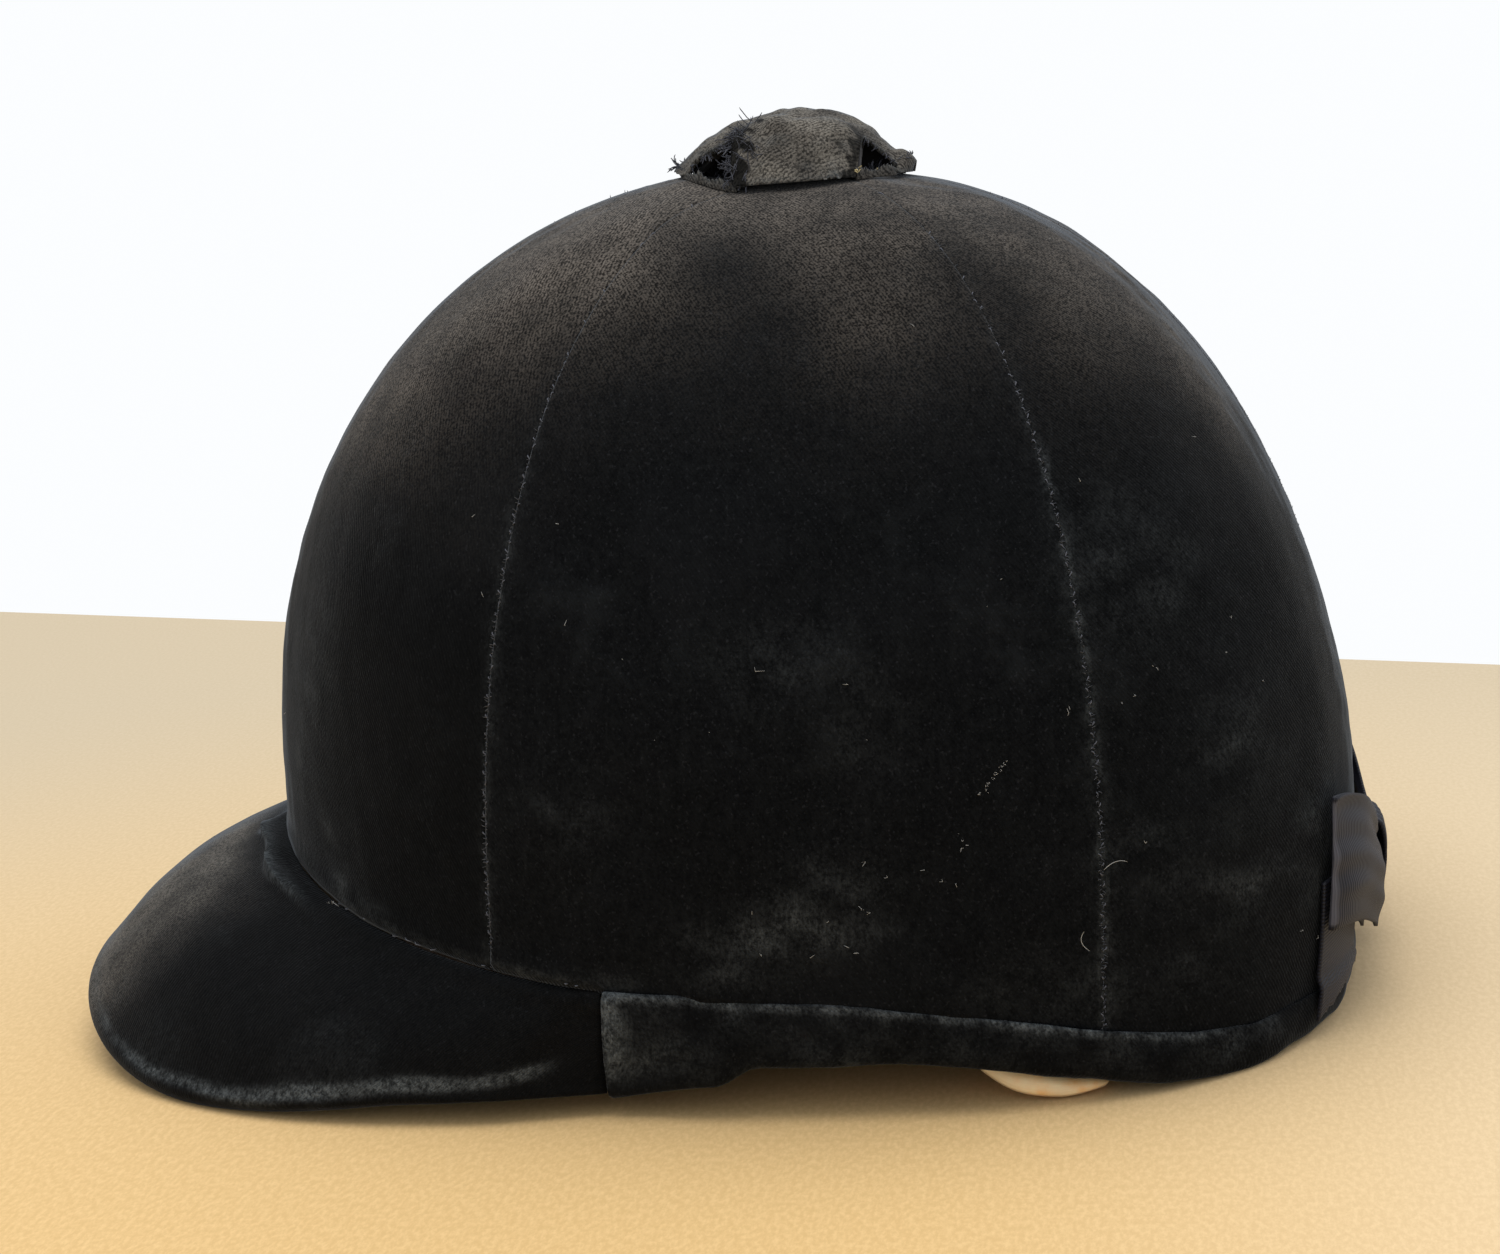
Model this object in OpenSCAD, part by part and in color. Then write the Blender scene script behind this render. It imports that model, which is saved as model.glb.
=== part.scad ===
// Velvet hunt cap, standing on its rim and on the two sides of its peak.
// Millimetres. The front is -Y, the wearer's left is +X and up is +Z.
// The origin is the middle of the head opening, on the plane that the cap stands on.
// Places on the crown are given by an angle, 0 at the front, 90 at the wearer's left and
// 180 at the rear, by a height, and by a depth measured inwards from the velvet's face.

/* [Crown] */
// How far the crown reaches ahead of the middle of the head opening
crown_front = 121.5; // [105:0.5:135]
// How far the crown reaches behind that middle
crown_rear = 114.8; // [98:0.1:130]
// Width of the crown where it is widest
crown_width = 201; // [175:1:225]
// Height of the crown under its button
crown_height = 174; // [150:1:195]
// Height at which the front of the crown is fullest
belly_front = 39; // [34:0.5:46]
// Height at which the sides are fullest
belly_side = 34.5; // [30:0.5:42]
// Height at which the rear is fullest
belly_rear = 30; // [25:0.5:38]
// Lean of the crown towards the rear, in degrees
lean = 2.3; // [0:0.1:5]
// Angle of the front side seams
seam_front = 63; // [56:1:68]
// Angle of the rear side seams
seam_rear = 115; // [110:1:126]

/* [Layers] */
// Thickness of the velvet
velvet = 1.2; // [0.8:0.1:1.6]
// Wall of the hard shell
shell_wall = 3; // [2:0.1:4]
// Thickness of the foam between shell and lining
foam = 5; // [3:0.5:8]
// Thickness of the quilted lining at the middle of a channel
lining_thick = 2.5; // [1.6:0.1:3.5]
// Thickness of the leather sweatband
leather = 1.4; // [0.9:0.1:2]
// Clearance between two layers
layer_gap = 0.3; // [0.25:0.05:0.5]

/* [Rim] */
// Rise of the rim over the ear
ear_rise = 9.9; // [0:0.1:14]
// Angle at which the rim is highest over the ear
ear_at = 94; // [88:1:100]
// Angle at which the velvet rim band starts beside the peak
band_start = 75; // [72:0.5:80]
// Height of the rim band's upper edge at that start
band_high = 25.5; // [20:0.5:30]
// Height of the rim band's upper edge at the rear
band_low = 9; // [6:0.5:14]
// How far the doubled start of the band hangs below the rim
band_flap = 3.4; // [0:0.1:3.5]
// How far the band stands proud of the crown
band_proud = 0.8; // [0.3:0.1:1.2]
// Height of the sweatband
sweatband_height = 35; // [28:1:44]

/* [Peak] */
// Half the width of the peak
peak_half = 100.3; // [88:0.1:104]
// Reach of the peak's tip ahead of the middle of the head opening
peak_reach = 166; // [150:0.5:185]
// How far ahead of that middle the sides of the peak begin to curve in
peak_shoulder = 55; // [46:0.5:62]
// Rise of the peak's edge from its sides to its tip
peak_arch = 11; // [4:0.1:20]
// Thickness of the peak board
board = 3; // [2:0.1:3.4]
// Height of the seam between crown and peak at the front
peak_seam_front = 41; // [36:0.5:46]
// Height of that seam at the rim band
peak_seam_side = 24.5; // [20:0.5:28]
// How much the peak's upper face bellies out
peak_belly = 4.5; // [0:0.1:6]

/* [Button] */
// Width of the button
button_width = 51; // [40:0.5:60]
// Height of the button over the crown
button_rise = 13.5; // [9:0.5:18]
// Width of the vents on both sides of the button's front
vent_front = 12; // [6:0.5:14]
// Width of the vents on both sides of the button's rear
vent_rear = 7; // [4:0.5:12]
// Depth of the velvet strip that is left over the front vents
strip_front = 4; // [3:0.1:5]
// Depth of the velvet strip that is left over the rear vents
strip_rear = 1.9; // [1.6:0.1:3]
// Bore of the eyelet below the button
eyelet_bore = 10; // [6:0.5:11]

/* [Bow] */
// Width of the ribbon bow at the rear
bow_width = 123; // [96:1:124]
// Width of its ribbon
ribbon = 26; // [18:0.5:30]
// Thickness of the ribbon
ribbon_thick = 0.7; // [0.5:0.1:0.9]
// Height of the middle of its loops at their ends
bow_height = 35.5; // [32:0.5:45]
// Width of the knot
knot_width = 15; // [9:0.5:18]
// Height of the middle of the knot
knot_height = 19.5; // [19:0.5:30]
// Height of the lower corner of the tails
tail_low = 4.5; // [3:0.5:8]

/* [Hidden] */

// Fullness of the crown's profile at the front, sides and rear, its roundness towards the
// top, and the squareness of its plan ahead of and behind the middle
full_front = 2.8;
full_side = 2.3;
full_rear = 1.9;
top_round = 2.22;
plan_front = 2;
plan_rear = 2.85;
// Share of its width that the crown draws in, tuck_span below its belly
tuck_front = 0.01;
tuck_side = 0.009;
tuck_rear = 0.015;
tuck_span = 30;

// Depths of the layers, from the velvet's face inwards
shell_out = velvet + layer_gap;
shell_in = shell_out + shell_wall;
foam_out = shell_in + layer_gap;
foam_in = foam_out + foam;
lining_out = foam_in + layer_gap;
lining_in = lining_out + lining_thick;
stitch_in = lining_out + 0.45*lining_thick;
sweat_out = lining_in + layer_gap;
sweat_in = sweat_out + leather;
binding_in = foam_out + 1.5;

// Heights above the rim: lower edge of the shell, top of the rim's inner fold, lower and
// upper edges of the fitting pad, and lower edge of the lining
shell_lift = 1.6 + layer_gap;
fold_top = 9;
pad_low = fold_top + 1.5;
lining_low = 22;
pad_high = 32;

// Rim over the ear, before and behind its highest point, and drop from seam to brow
ear_fore = 48;
ear_aft = 38;
band_fall = 65;
brow_drop = 10;
brow_span = 34;

// Peak: squareness of its outline, angle where its edge stands, radius of its rolled edge,
// height of its edge beside the band, and the angles of its root and of its sides' ends
peak_square = 2.42;
peak_stand = 58;
side_lift = 4.9;
cover = velvet - 0.15;
skin_gap = 0.2;
edge_r = cover + skin_gap + board/2;
peak_step = 7.5;
root_span = band_start - 3;
brow_end = band_start - 7;
board_span = 11*peak_step;
tail_span = 10;
stand_cut = 0.5;

// Columns of the layers round the crown, and latitudes of their rings over the belly
gore_cols = 7;
side_cols = 4;
lat_mm = 2.2;
lat_first = 12;
lat_step = 10.5;
lat_last = 75;
half_cols = concat(
    [for (k = [0:gore_cols - 1]) seam_front*k/gore_cols],
    [seam_front],
    [for (k = [0:side_cols - 1]) band_start + (seam_rear - band_start)*k/side_cols],
    [for (k = [0:gore_cols]) seam_rear + (180 - seam_rear)*k/gore_cols]
);
ring_cols = concat(half_cols, [for (k = [len(half_cols) - 2:-1:1]) 360 - half_cols[k]]);
seam_half = 0.15;
furrow = 0.5;

half_width = crown_width/2;
apex_y = tan(lean)*crown_height;

// Vent hole in the shell, hole in the velvet, hole in foam and lining, patch and its eye, as
// shares of the crown
eyelet_wall = 0.8;
eyelet_flange = eyelet_bore/2 + 4.2;
vent_share = (eyelet_bore/2 + eyelet_wall + 1)/half_width;
gore_hole = (eyelet_flange + 1.2)/half_width;
pad_hole = 0.15;
patch_share = 0.23;
patch_eye = 0.03;

// Small helpers
function spow(v, e) = sign(v)*pow(abs(v), e);
function smooth(t) = t <= 0 ? 0 : t >= 1 ? 1 : t*t*(3 - 2*t);
function unit(v) = v/norm(v);
function mix(a, f, s, r) = s*pow(sin(a), 2) + (cos(a) > 0 ? f : r)*pow(cos(a), 2);
function turn(a) = a > 180 ? 360 - a : abs(a);

// The crown's surface
function belly(a) = mix(a, belly_front, belly_side, belly_rear);
function fullness(a) = mix(a, full_front, full_side, full_rear);
function tuck(a) = mix(a, tuck_front, tuck_side, tuck_rear);
function square(a) = cos(a) > 0 ? plan_front : plan_rear;
function reach(a) = cos(a) > 0 ? crown_front : crown_rear;
function ring_point(a, share, z, d) = [
    (half_width - d)*spow(sin(a), 2/square(a))*share,
    -(reach(a) - d)*spow(cos(a), 2/square(a))*share + tan(lean)*z,
    z
];

// Latitude of a height, and the point at a latitude: millimetres scaled by lat_mm below the
// belly, degrees above it
function climb(a, z, d) = (z - belly(a))/(crown_height - d - belly(a));
function latitude(a, z, d) = z < belly(a) ? (z - belly(a))/lat_mm :
    acos(pow(1 - pow(climb(a, z, d), fullness(a)), 1/top_round));
function low_share(a, z) = 1 - tuck(a)*pow((belly(a) - z)/tuck_span, 2);
function at_latitude(a, q, d) = q < 0 ?
    ring_point(a, low_share(a, belly(a) + q*lat_mm), belly(a) + q*lat_mm, d) :
    ring_point(a, cos(q), belly(a)
        + (crown_height - d - belly(a))*pow(1 - pow(cos(q), top_round), 1/fullness(a)), d);
function at_height(a, z, d) = at_latitude(a, latitude(a, z, d), d);

// A column of points at the heights given, over the dome and on to the shares given
function dome_column(a, heights, d, shares) = concat(
    [for (z = heights) at_height(a, z, d)],
    [for (l = [lat_first:lat_step:lat_last]) at_latitude(a, l, d)],
    [for (s = shares) at_latitude(a, acos(s), d)]
);

// Lines round the crown: seam of the peak, rim, and upper edge of the rim band
function peak_seam(a) = peak_seam_side + (peak_seam_front - peak_seam_side)*pow(cos(a), 2);
function ear(a) = let (t = (a - ear_at)/(a < ear_at ? ear_fore : ear_aft))
    ear_rise*pow(cos(90*min(1, abs(t))), 2);
function rim(a) = let (b = turn(a), f = smooth((band_start - 1 - b)/brow_span))
    ear(b)*(1 - f) + (peak_seam(b) - brow_drop)*f;
function band_top(a) = let (t = max(0, min(1, (turn(a) - band_start)/band_fall)))
    band_low + (band_high - band_low)*(0.5 + 0.5*cos(180*t));
function gore_low(a) = turn(a) < band_start ? peak_seam(a) : band_top(a) + layer_gap;

// A closed solid between two grids of points, face outside and back inside, one list per
// column, each column running upwards and the columns turning with the angle
module sheet(face, back, ring = false) {
    m = len(face);
    n = len(face[0]);
    turns = ring ? m : m - 1;
    points = concat([for (c = face) each c], [for (c = back) each c]);
    function f(i, j) = (i % m)*n + j;
    function b(i, j) = m*n + (i % m)*n + j;
    skins = [for (i = [0:turns - 1], j = [0:n - 2]) each [
        [f(i, j), f(i, j + 1), f(i + 1, j + 1)], [f(i, j), f(i + 1, j + 1), f(i + 1, j)],
        [b(i, j), b(i + 1, j + 1), b(i, j + 1)], [b(i, j), b(i + 1, j), b(i + 1, j + 1)]
    ]];
    edges = [for (i = [0:turns - 1]) each [
        [f(i, 0), f(i + 1, 0), b(i + 1, 0)], [f(i, 0), b(i + 1, 0), b(i, 0)],
        [f(i + 1, n - 1), f(i, n - 1), b(i, n - 1)],
        [f(i + 1, n - 1), b(i, n - 1), b(i + 1, n - 1)]
    ]];
    ends = ring ? [] : [for (j = [0:n - 2]) each [
        [f(0, j + 1), f(0, j), b(0, j)], [f(0, j + 1), b(0, j), b(0, j + 1)],
        [f(m - 1, j), f(m - 1, j + 1), b(m - 1, j + 1)],
        [f(m - 1, j), b(m - 1, j + 1), b(m - 1, j)]
    ]];
    polyhedron(points, concat(skins, edges, ends), convexity = 10);
}

module mirrored() {
    mirror([1, 0, 0]) children();
}

// Hard shell with the vent hole in its top
module shell() {
    function column(a, d) = dome_column(a,
        [for (h = [shell_lift, pad_low, lining_low, pad_high]) rim(a) + h], d,
        [pad_hole, vent_share]);
    color("#2b2622")
    sheet(
        [for (a = ring_cols) column(a, shell_out)],
        [for (a = ring_cols) column(a, shell_in)],
        ring = true
    );
}

// One velvet gore between two seams, its edges drawn into the seam furrows
function aside(a) = let (v = at_height(a + 1, belly(a), 0) - at_height(a - 1, belly(a), 0))
    seam_half*unit([v[0], v[1], 0]);
function gore_heights(a) = let (low = gore_low(a), mid = max(low + 1, rim(a) + lining_low))
    [low, (low + mid)/2, mid, max(mid + 1, rim(a) + pad_high)];
function shifted(column, v) = [for (p = column) p + v];

module gore(from, to) {
    shoulder = 1.5;
    inner = [for (a = half_cols) if (a > from + 0.01 && a < to - 0.01) a];
    cols = concat([from, from + shoulder], inner, [to - shoulder, to]);
    last = len(cols) - 1;
    function move(i) = i == 0 ? aside(from) : i == last ? -aside(to) : [0, 0, 0];
    function column(i, d) =
        shifted(dome_column(cols[i], gore_heights(cols[i]), d, [pad_hole, gore_hole]), move(i));
    sheet(
        [for (i = [0:last]) column(i, i == 0 || i == last ? furrow : 0)],
        [for (i = [0:last]) column(i, velvet)]
    );
}

module gore_front_left() {
    color("#15110f") gore(0, seam_front);
}

module gore_side_left() {
    color("#15110f") gore(seam_front, seam_rear);
}

module gore_rear_left() {
    color("#15110f") gore(seam_rear, 180);
}

module gore_front_right() {
    mirrored() gore_front_left();
}

module gore_side_right() {
    mirrored() gore_side_left();
}

module gore_rear_right() {
    mirrored() gore_rear_left();
}

// Velvet band round the rim: it stands against the shell, turns under its lower edge and up
// inside it, and its doubled ends hang a little lower. Between the first two columns of the
// shell it keeps to the straight line between them
first_col = band_start + (seam_rear - band_start)/side_cols;
function part_way(a) = (turn(a) - band_start)/(first_col - band_start);
function chord(a, p, q) = p + (q - p)*part_way(a);
function band_edge(a) = turn(a) > first_col ? band_top(a) :
    chord(a, band_top(band_start), band_top(first_col));
function flap(a) = band_flap*(1 - smooth((turn(a) - band_start - 10)/4));
function hem(a) = 0.7*(1 - smooth((turn(a) - band_start - 1.2)/1.2));
function band_outside(a) = let (z = rim(a) - flap(a), t = band_edge(a), p = band_proud + hem(a)) [
    at_height(a, t, -0.4*p), at_height(a, t - 1.5, -p), at_height(a, (t + z)/2, -p),
    at_height(a, z + 1, 0.2 - p), at_height(a, z, 0.4),
    at_height(a, z, binding_in - 0.9), at_height(a, z + 1, binding_in),
    at_height(a, rim(a) + fold_top, binding_in)
];
function band_back(a) = let (z = rim(a), t = band_top(a), d = velvet) [
    at_height(a, t, d), at_height(a, t - 1.5, d), at_height(a, (t + z)/2, d),
    at_height(a, z + shell_lift, d), at_height(a, z + 1.5, shell_out + 0.2),
    at_height(a, z + 1.5, shell_in), at_height(a, z + shell_lift, foam_out),
    at_height(a, z + fold_top, foam_out)
];
function band_inside(a) = let (side = a > 180 ? -1 : 1) turn(a) > first_col ? band_back(a) :
    chord(a, band_back(side*band_start), band_back(side*first_col));

module rim_band() {
    start = [band_start, band_start + 1.2, band_start + 2.4, band_start + 5];
    left = concat(start, [for (a = half_cols) if (a > band_start + 6) a]);
    cols = concat(left, [for (k = [len(left) - 2:-1:0]) 360 - left[k]]);
    back_to_front = [for (k = [len(cols) - 1:-1:0]) cols[k]];
    color("#1b1815")
    sheet(
        [for (a = back_to_front) band_outside(a)],
        [for (a = back_to_front) band_inside(a)]
    );
}

// Tape that binds the shell's lower edge over the brow, behind the peak. Its ends keep to the
// straight line between two columns of the shell
module brow_binding() {
    share = (brow_end - seam_front)/(band_start - seam_front);
    half = [for (a = half_cols) if (a < seam_front + 0.1) a];
    cols = concat(
        [for (k = [len(half) - 1:-1:0]) half[k]],
        [for (k = [1:len(half) - 1]) -half[k]]
    );
    function outside(a) = let (z = rim(a)) [
        at_height(a, z + 3.4, 0.2), at_height(a, z + 1, 0.2), at_height(a, z, 0.9),
        at_height(a, z, binding_in - 0.9), at_height(a, z + 1, binding_in),
        at_height(a, z + fold_top, binding_in)
    ];
    function inside(a) = let (z = rim(a)) [
        at_height(a, z + 3.4, velvet), at_height(a, z + shell_lift, velvet),
        at_height(a, z + 1.5, shell_out + 0.2),
        at_height(a, z + 1.5, shell_in), at_height(a, z + shell_lift, foam_out),
        at_height(a, z + fold_top, foam_out)
    ];
    function out_end(s) = outside(s*seam_front)*(1 - share) + outside(s*band_start)*share;
    function in_end(s) = inside(s*seam_front)*(1 - share) + inside(s*band_start)*share;
    color("#1a1612")
    sheet(
        concat([out_end(1)], [for (a = cols) outside(a)], [out_end(-1)]),
        concat([in_end(1)], [for (a = cols) inside(a)], [in_end(-1)])
    );
}

// Outline of the peak's edge in plan, by an angle that is 0 at the tip and 90 where the
// sides start to run straight back to the rim band
tail_end = band_start - 0.4;
edge_end = at_height(tail_end, side_lift, -0.3);
function past(t) = max(0, (abs(t) - 90)/tail_span);
function edge_xy(t) = let (p = past(t), c = min(90, abs(t))) [
    sign(t)*(peak_half*pow(sin(c), 2/peak_square)*(1 - p) + edge_end[0]*p),
    -(peak_shoulder + (peak_reach - peak_shoulder)*pow(cos(c), 2/peak_square))*(1 - p)
        + edge_end[1]*p
];
function edge_low(t) = abs(t) < peak_stand ? peak_arch*pow(1 - pow(t/peak_stand, 2), 2) :
    side_lift*pow((min(90, abs(t)) - peak_stand)/(90 - peak_stand), 2);
function roll(t) = edge_r - (edge_r - cover - 0.25)*smooth((abs(t) - board_span)/8);
function outward(t) = let (v = edge_xy(t + 1) - edge_xy(t - 1)) unit([v[1], -v[0], 0]);
function edge_mid(t) = let (e = edge_xy(t))
    [e[0], e[1], edge_low(t) + roll(t) - stand_cut] - outward(t)*roll(t);

// Root of the peak's upper face on the crown, the way out along it, and its normal
function root_angle(t) = abs(t) <= 90 ? t*root_span/90 :
    sign(t)*(root_span + (tail_end - root_span)*past(t));
function root(t) = at_height(root_angle(t), peak_seam(root_angle(t)) - layer_gap, 0);
function slope(t) = unit(edge_mid(t) - root(t));
function normal(t) = unit(cross(slope(t), edge_mid(t + 1) - edge_mid(t - 1)));
function upper(t, s) = root(t)*(1 - s) + (edge_mid(t) + normal(t)*roll(t))*s
    + normal(t)*(peak_belly*(1 - pow(min(1, abs(t)/95), 4))*sin(180*pow(s, 1.16)));

// Shares of the way out at which the board, its lining and the cover have their points; the
// board begins further out at its horns, and the underside's lining ends before the edge
board_rows = [0, 0.22, 0.44, 0.66, 0.84, 1];
board_end = 0.985;
function board_start(t) = 0.07 + 0.35*pow(min(1, abs(t)/board_span), 8);
function way(t, k) = let (b = board_start(t)) b + (board_end - b)*board_rows[k];
// Section of the peak's velvet, depth d under its face: over the top, round the edge and in
function cover_section(t, d) = let (c = edge_mid(t), r = roll(t), n = normal(t), o = slope(t))
    concat(
        [upper(t, 0) - n*d],
        [for (k = [0:4]) upper(t, way(t, k)) - n*d],
        [for (w = [0:45:180]) c + n*((r - d)*cos(w)) + o*((r - d)*sin(w))],
        [upper(t, way(t, 4) + lip_clear/norm(c - root(t))) - n*(2*r - d)]
    );
lip_clear = 1;
function board_section(t, d, last) = [for (k = [0:last]) upper(t, way(t, k)) - normal(t)*d];
peak_cols = [for (k = [11:-1:-11]) peak_step*k];

module peak_cover() {
    tail = [for (k = [4:-1:0]) 90 + tail_span*k/4];
    cols = concat(tail, peak_cols, [for (k = [4:-1:0]) -tail[k]]);
    color("#15120f")
    difference() {
        sheet(
            [for (t = cols) cover_section(t, 0)],
            [for (t = cols) cover_section(t, cover)]
        );
        translate([-peak_half - 5, -peak_reach - 5, -10])
            cube([2*peak_half + 10, peak_reach + 5, 10]);
    }
}

module peak_board() {
    top = cover + skin_gap;
    color("#4a3b2c")
    sheet(
        [for (t = peak_cols) board_section(t, top, 5)],
        [for (t = peak_cols) board_section(t, top + board, 5)]
    );
}

module peak_underlining() {
    top = cover + 2*skin_gap + board;
    color("#221d19")
    sheet(
        [for (t = peak_cols) board_section(t, top, 4)],
        [for (t = peak_cols) board_section(t, top + cover, 4)]
    );
}

// Brass eyelet through the top of the crown
module vent_eyelet() {
    bore = eyelet_bore/2;
    pipe = bore + eyelet_wall;
    flange = eyelet_flange;
    seat = layer_gap - shell_out;
    low = -(shell_in + 1.6);
    color("#b08d3c")
    translate([0, apex_y, crown_height])
    rotate_extrude($fn = 48)
    polygon([
        [bore, low], [flange - 0.6, low], [flange, low + 0.4], [flange - 0.6, low + 0.7],
        [pipe, low + 0.7], [pipe, seat], [flange, seat],
        [flange - 0.8, seat + 0.8], [bore, seat + 0.8]
    ]);
}

// The button: a hollow dome over the eyelet. Behind its front and rear corners the vents run
// from side to side under a strip of the dome
button_r = button_width/2;
button_y = apex_y - 2;
button_seat = at_latitude(0, acos(button_r/crown_front), 0)[2] + layer_gap;
button_top = crown_height + button_rise - button_seat;
button_round = 2.6;
corner = 3;
core_skin = velvet + 0.2;
web = 1.6;
web_low = crown_height + 0.4 - button_seat;
dome_shares = [1, 0.95, 0.88, 0.77, 0.62, 0.45, 0.25, 0];
function dome_at(r) = button_top*(1 - pow(min(1, abs(r)/button_r), button_round));
function button_dome(wall) = [for (k = dome_shares)
    [(button_r - wall)*k, (button_top - wall)*(1 - pow(k, button_round))]];

module button_shell(outer, inner) {
    last = len(dome_shares) - 1;
    translate([0, button_y, button_seat])
    rotate_extrude($fn = 44)
    polygon(concat(button_dome(outer), [for (k = [last:-1:0]) button_dome(inner)[k]]));
}

// A vent from y = from to y = to ahead of the button's middle, a strip's thickness below it
module vent_cut(from, to, strip) {
    ys = [for (k = [0:4]) from + (to - from)*k/4];
    translate([-button_r, button_y, button_seat])
    rotate([90, 0, 90])
    linear_extrude(2*button_r)
    polygon(concat(
        [for (y = ys) [-y, max(0.5, dome_at(y) - strip)]],
        [[-to, -1], [-from, -1]]
    ));
}

module vents(front_strip, rear_strip, spare) {
    far = button_r - corner;
    vent_cut(far + spare, far - vent_front - spare, front_strip);
    vent_cut(-far - spare, vent_rear + spare - far, rear_strip);
}

// A web below the strip keeps the vents of the two sides apart, ahead of the eyelet and behind
module vent_web(from, to) {
    ys = [for (k = [0:6]) from + (to - from)*k/6];
    translate([-web/2, button_y, button_seat])
    rotate([90, 0, 90])
    linear_extrude(web)
    polygon(concat(
        [for (y = ys) [-y, dome_at(y) - core_skin - 1]],
        [[-to, web_low], [-from, web_low]]
    ));
}

module button_core() {
    wall = 2.2;
    far = button_r - corner;
    color("#3a2f28")
    union() {
        difference() {
            button_shell(core_skin, core_skin + wall);
            vents(strip_front + 0.2, core_skin + wall - 0.4, 0);
        }
        vent_web(far - 0.5, far - vent_front - 2);
        vent_web(-far + 0.5, vent_rear + 2 - far);
    }
}

module button_cover() {
    color("#463a32")
    difference() {
        button_shell(0, velvet);
        vents(strip_front, strip_rear, 0.8);
    }
}

// The ribbon bow at the rear, on the crown's surface
function rear_angle(x) = 180 - sign(x)*asin(pow(min(1, abs(x)/half_width), plan_rear/2));
function bow_point(x, z, d) = at_height(rear_angle(x), z, -d);
bow_end = bow_width/2;
tail_out = layer_gap + ribbon_thick + 0.2;
loop_in = tail_out + layer_gap + 0.2;
loop_out = loop_in + 2*ribbon_thick + 1.8;
knot_tall = 0.72*ribbon;
pinch = knot_tall/2 - ribbon_thick - 0.5;

// Half the ribbon's height and the height of its middle at x: it is gathered in the knot
throat = knot_width/2 + 0.7;
function loop_half(x) = pinch + (ribbon/2 - pinch)*smooth((x - throat)/(0.35*bow_end));
function loop_mid(x) = knot_height + (bow_height - knot_height)
    *smooth((x - throat)/(bow_end - throat));
// The loop lies flat at its upper edge and is fullest a little below its middle
loop_flat = loop_in + 2*ribbon_thick + 0.3;
loop_full = 2.3;
function loop_far(h) = loop_flat + loop_full*smooth((1 - h)/1.6) - 1.2*smooth((-0.3 - h)/0.7);
// Path of the loop in the row h, from -1 to 1: out along the crown, round the end and back,
// as [x, distance out]. Its end is longer at the lower edge
loop_slant = 1.2;
function loop_path(t, h) = let (far = loop_far(h), end = bow_end - loop_slant*h) [
    [1, loop_in + t], [throat, loop_in + t], [0.35*bow_end, loop_in + t],
    [0.6*bow_end, loop_in + t], [0.8*bow_end, loop_in + t],
    [end - 2, loop_in + t], [end - 0.5*t, loop_in + ribbon_thick],
    [end - 0.7 - 0.5*t, loop_in + 2*ribbon_thick], [0.9*bow_end, 0.85*far - t],
    [0.6*bow_end, far + 0.4 - t], [0.35*bow_end, far + 0.4 - t],
    [throat, loop_out - t], [1, loop_out - 0.2 - t]
];

module bow_loop_left() {
    rows = [for (k = [4:-1:-4]) k/4];
    color("#1d1a2a")
    sheet(
        [for (h = rows) [for (p = loop_path(0, h))
            bow_point(p[0], loop_mid(p[0]) + h*loop_half(p[0]), p[1])]],
        [for (h = rows) [for (p = loop_path(ribbon_thick, h))
            bow_point(p[0], loop_mid(p[0]) + h*loop_half(p[0]), p[1])]]
    );
}

module bow_loop_right() {
    mirrored() bow_loop_left();
}

// A tail hangs from under the loop and over the rim band, and is cut at a slant
function tail_lift(x, z) = layer_gap
    + (band_proud + 0.1)*smooth((band_top(rear_angle(x)) + 4 - z)/3);

module bow_tail_left() {
    outer = bow_end - 0.3;
    flare = 2;
    xs = [for (k = [0:5]) outer - 0.85*ribbon*k/5];
    high = bow_height - ribbon/2 + 9;
    function column(x, thick) = let (low = tail_low + 0.28*(bow_end - x)) [for (k = [0:7])
        let (z = low + (high - low)*k/7, wide = x + flare*(1 - k/7))
        bow_point(wide, z, tail_lift(wide, z) + thick + 0.2*sin(180*k/7))];
    color("#1a1726")
    sheet([for (x = xs) column(x, ribbon_thick)], [for (x = xs) column(x, 0)]);
}

module bow_tail_right() {
    mirrored() bow_tail_left();
}

// The knot is a short piece of ribbon wrapped round the gathered middle
module bow_knot() {
    crest = loop_out + 2.6;
    h = knot_tall/2;
    function wrap(t) = [
        [h - t, layer_gap], [h - t, 0.8*crest - t], [0.72*h - 0.5*t, crest - 0.5 - t],
        [0.3*h, crest - t], [-0.3*h, crest - t],
        [0.5*t - 0.72*h, crest - 0.5 - t], [t - h, 0.8*crest - t], [t - h, layer_gap]
    ];
    xs = [for (k = [-3:3]) knot_width*k/6];
    color("#211e30")
    sheet(
        [for (x = xs) [for (p = wrap(0)) bow_point(x, knot_height + p[0], p[1])]],
        [for (x = xs) [for (p = wrap(ribbon_thick)) bow_point(x, knot_height + p[0], p[1])]]
    );
}

// Foam pad under the top of the shell
module crown_pad() {
    color("#c9bfa6")
    sheet(
        [for (a = ring_cols) dome_column(a, [], foam_out, [pad_hole])],
        [for (a = ring_cols) dome_column(a, [], foam_in, [pad_hole])],
        ring = true
    );
}

// Foam strip that fits the cap to the head, behind the lining and sweatband
module fitting_pad() {
    function strip(a, d) = [for (h = [pad_low, lining_low, pad_high])
        at_height(a, rim(a) + h, d)];
    color("#cdc3ab")
    sheet(
        [for (a = ring_cols) strip(a, foam_out)],
        [for (a = ring_cols) strip(a, foam_in)],
        ring = true
    );
}

// Quilted satin lining: six panels, each sewn into channels two columns wide
channel_cols = 2;
function quilt(k) = lining_in - (lining_in - stitch_in)*pow(cos(180*k/channel_cols), 2);

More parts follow.
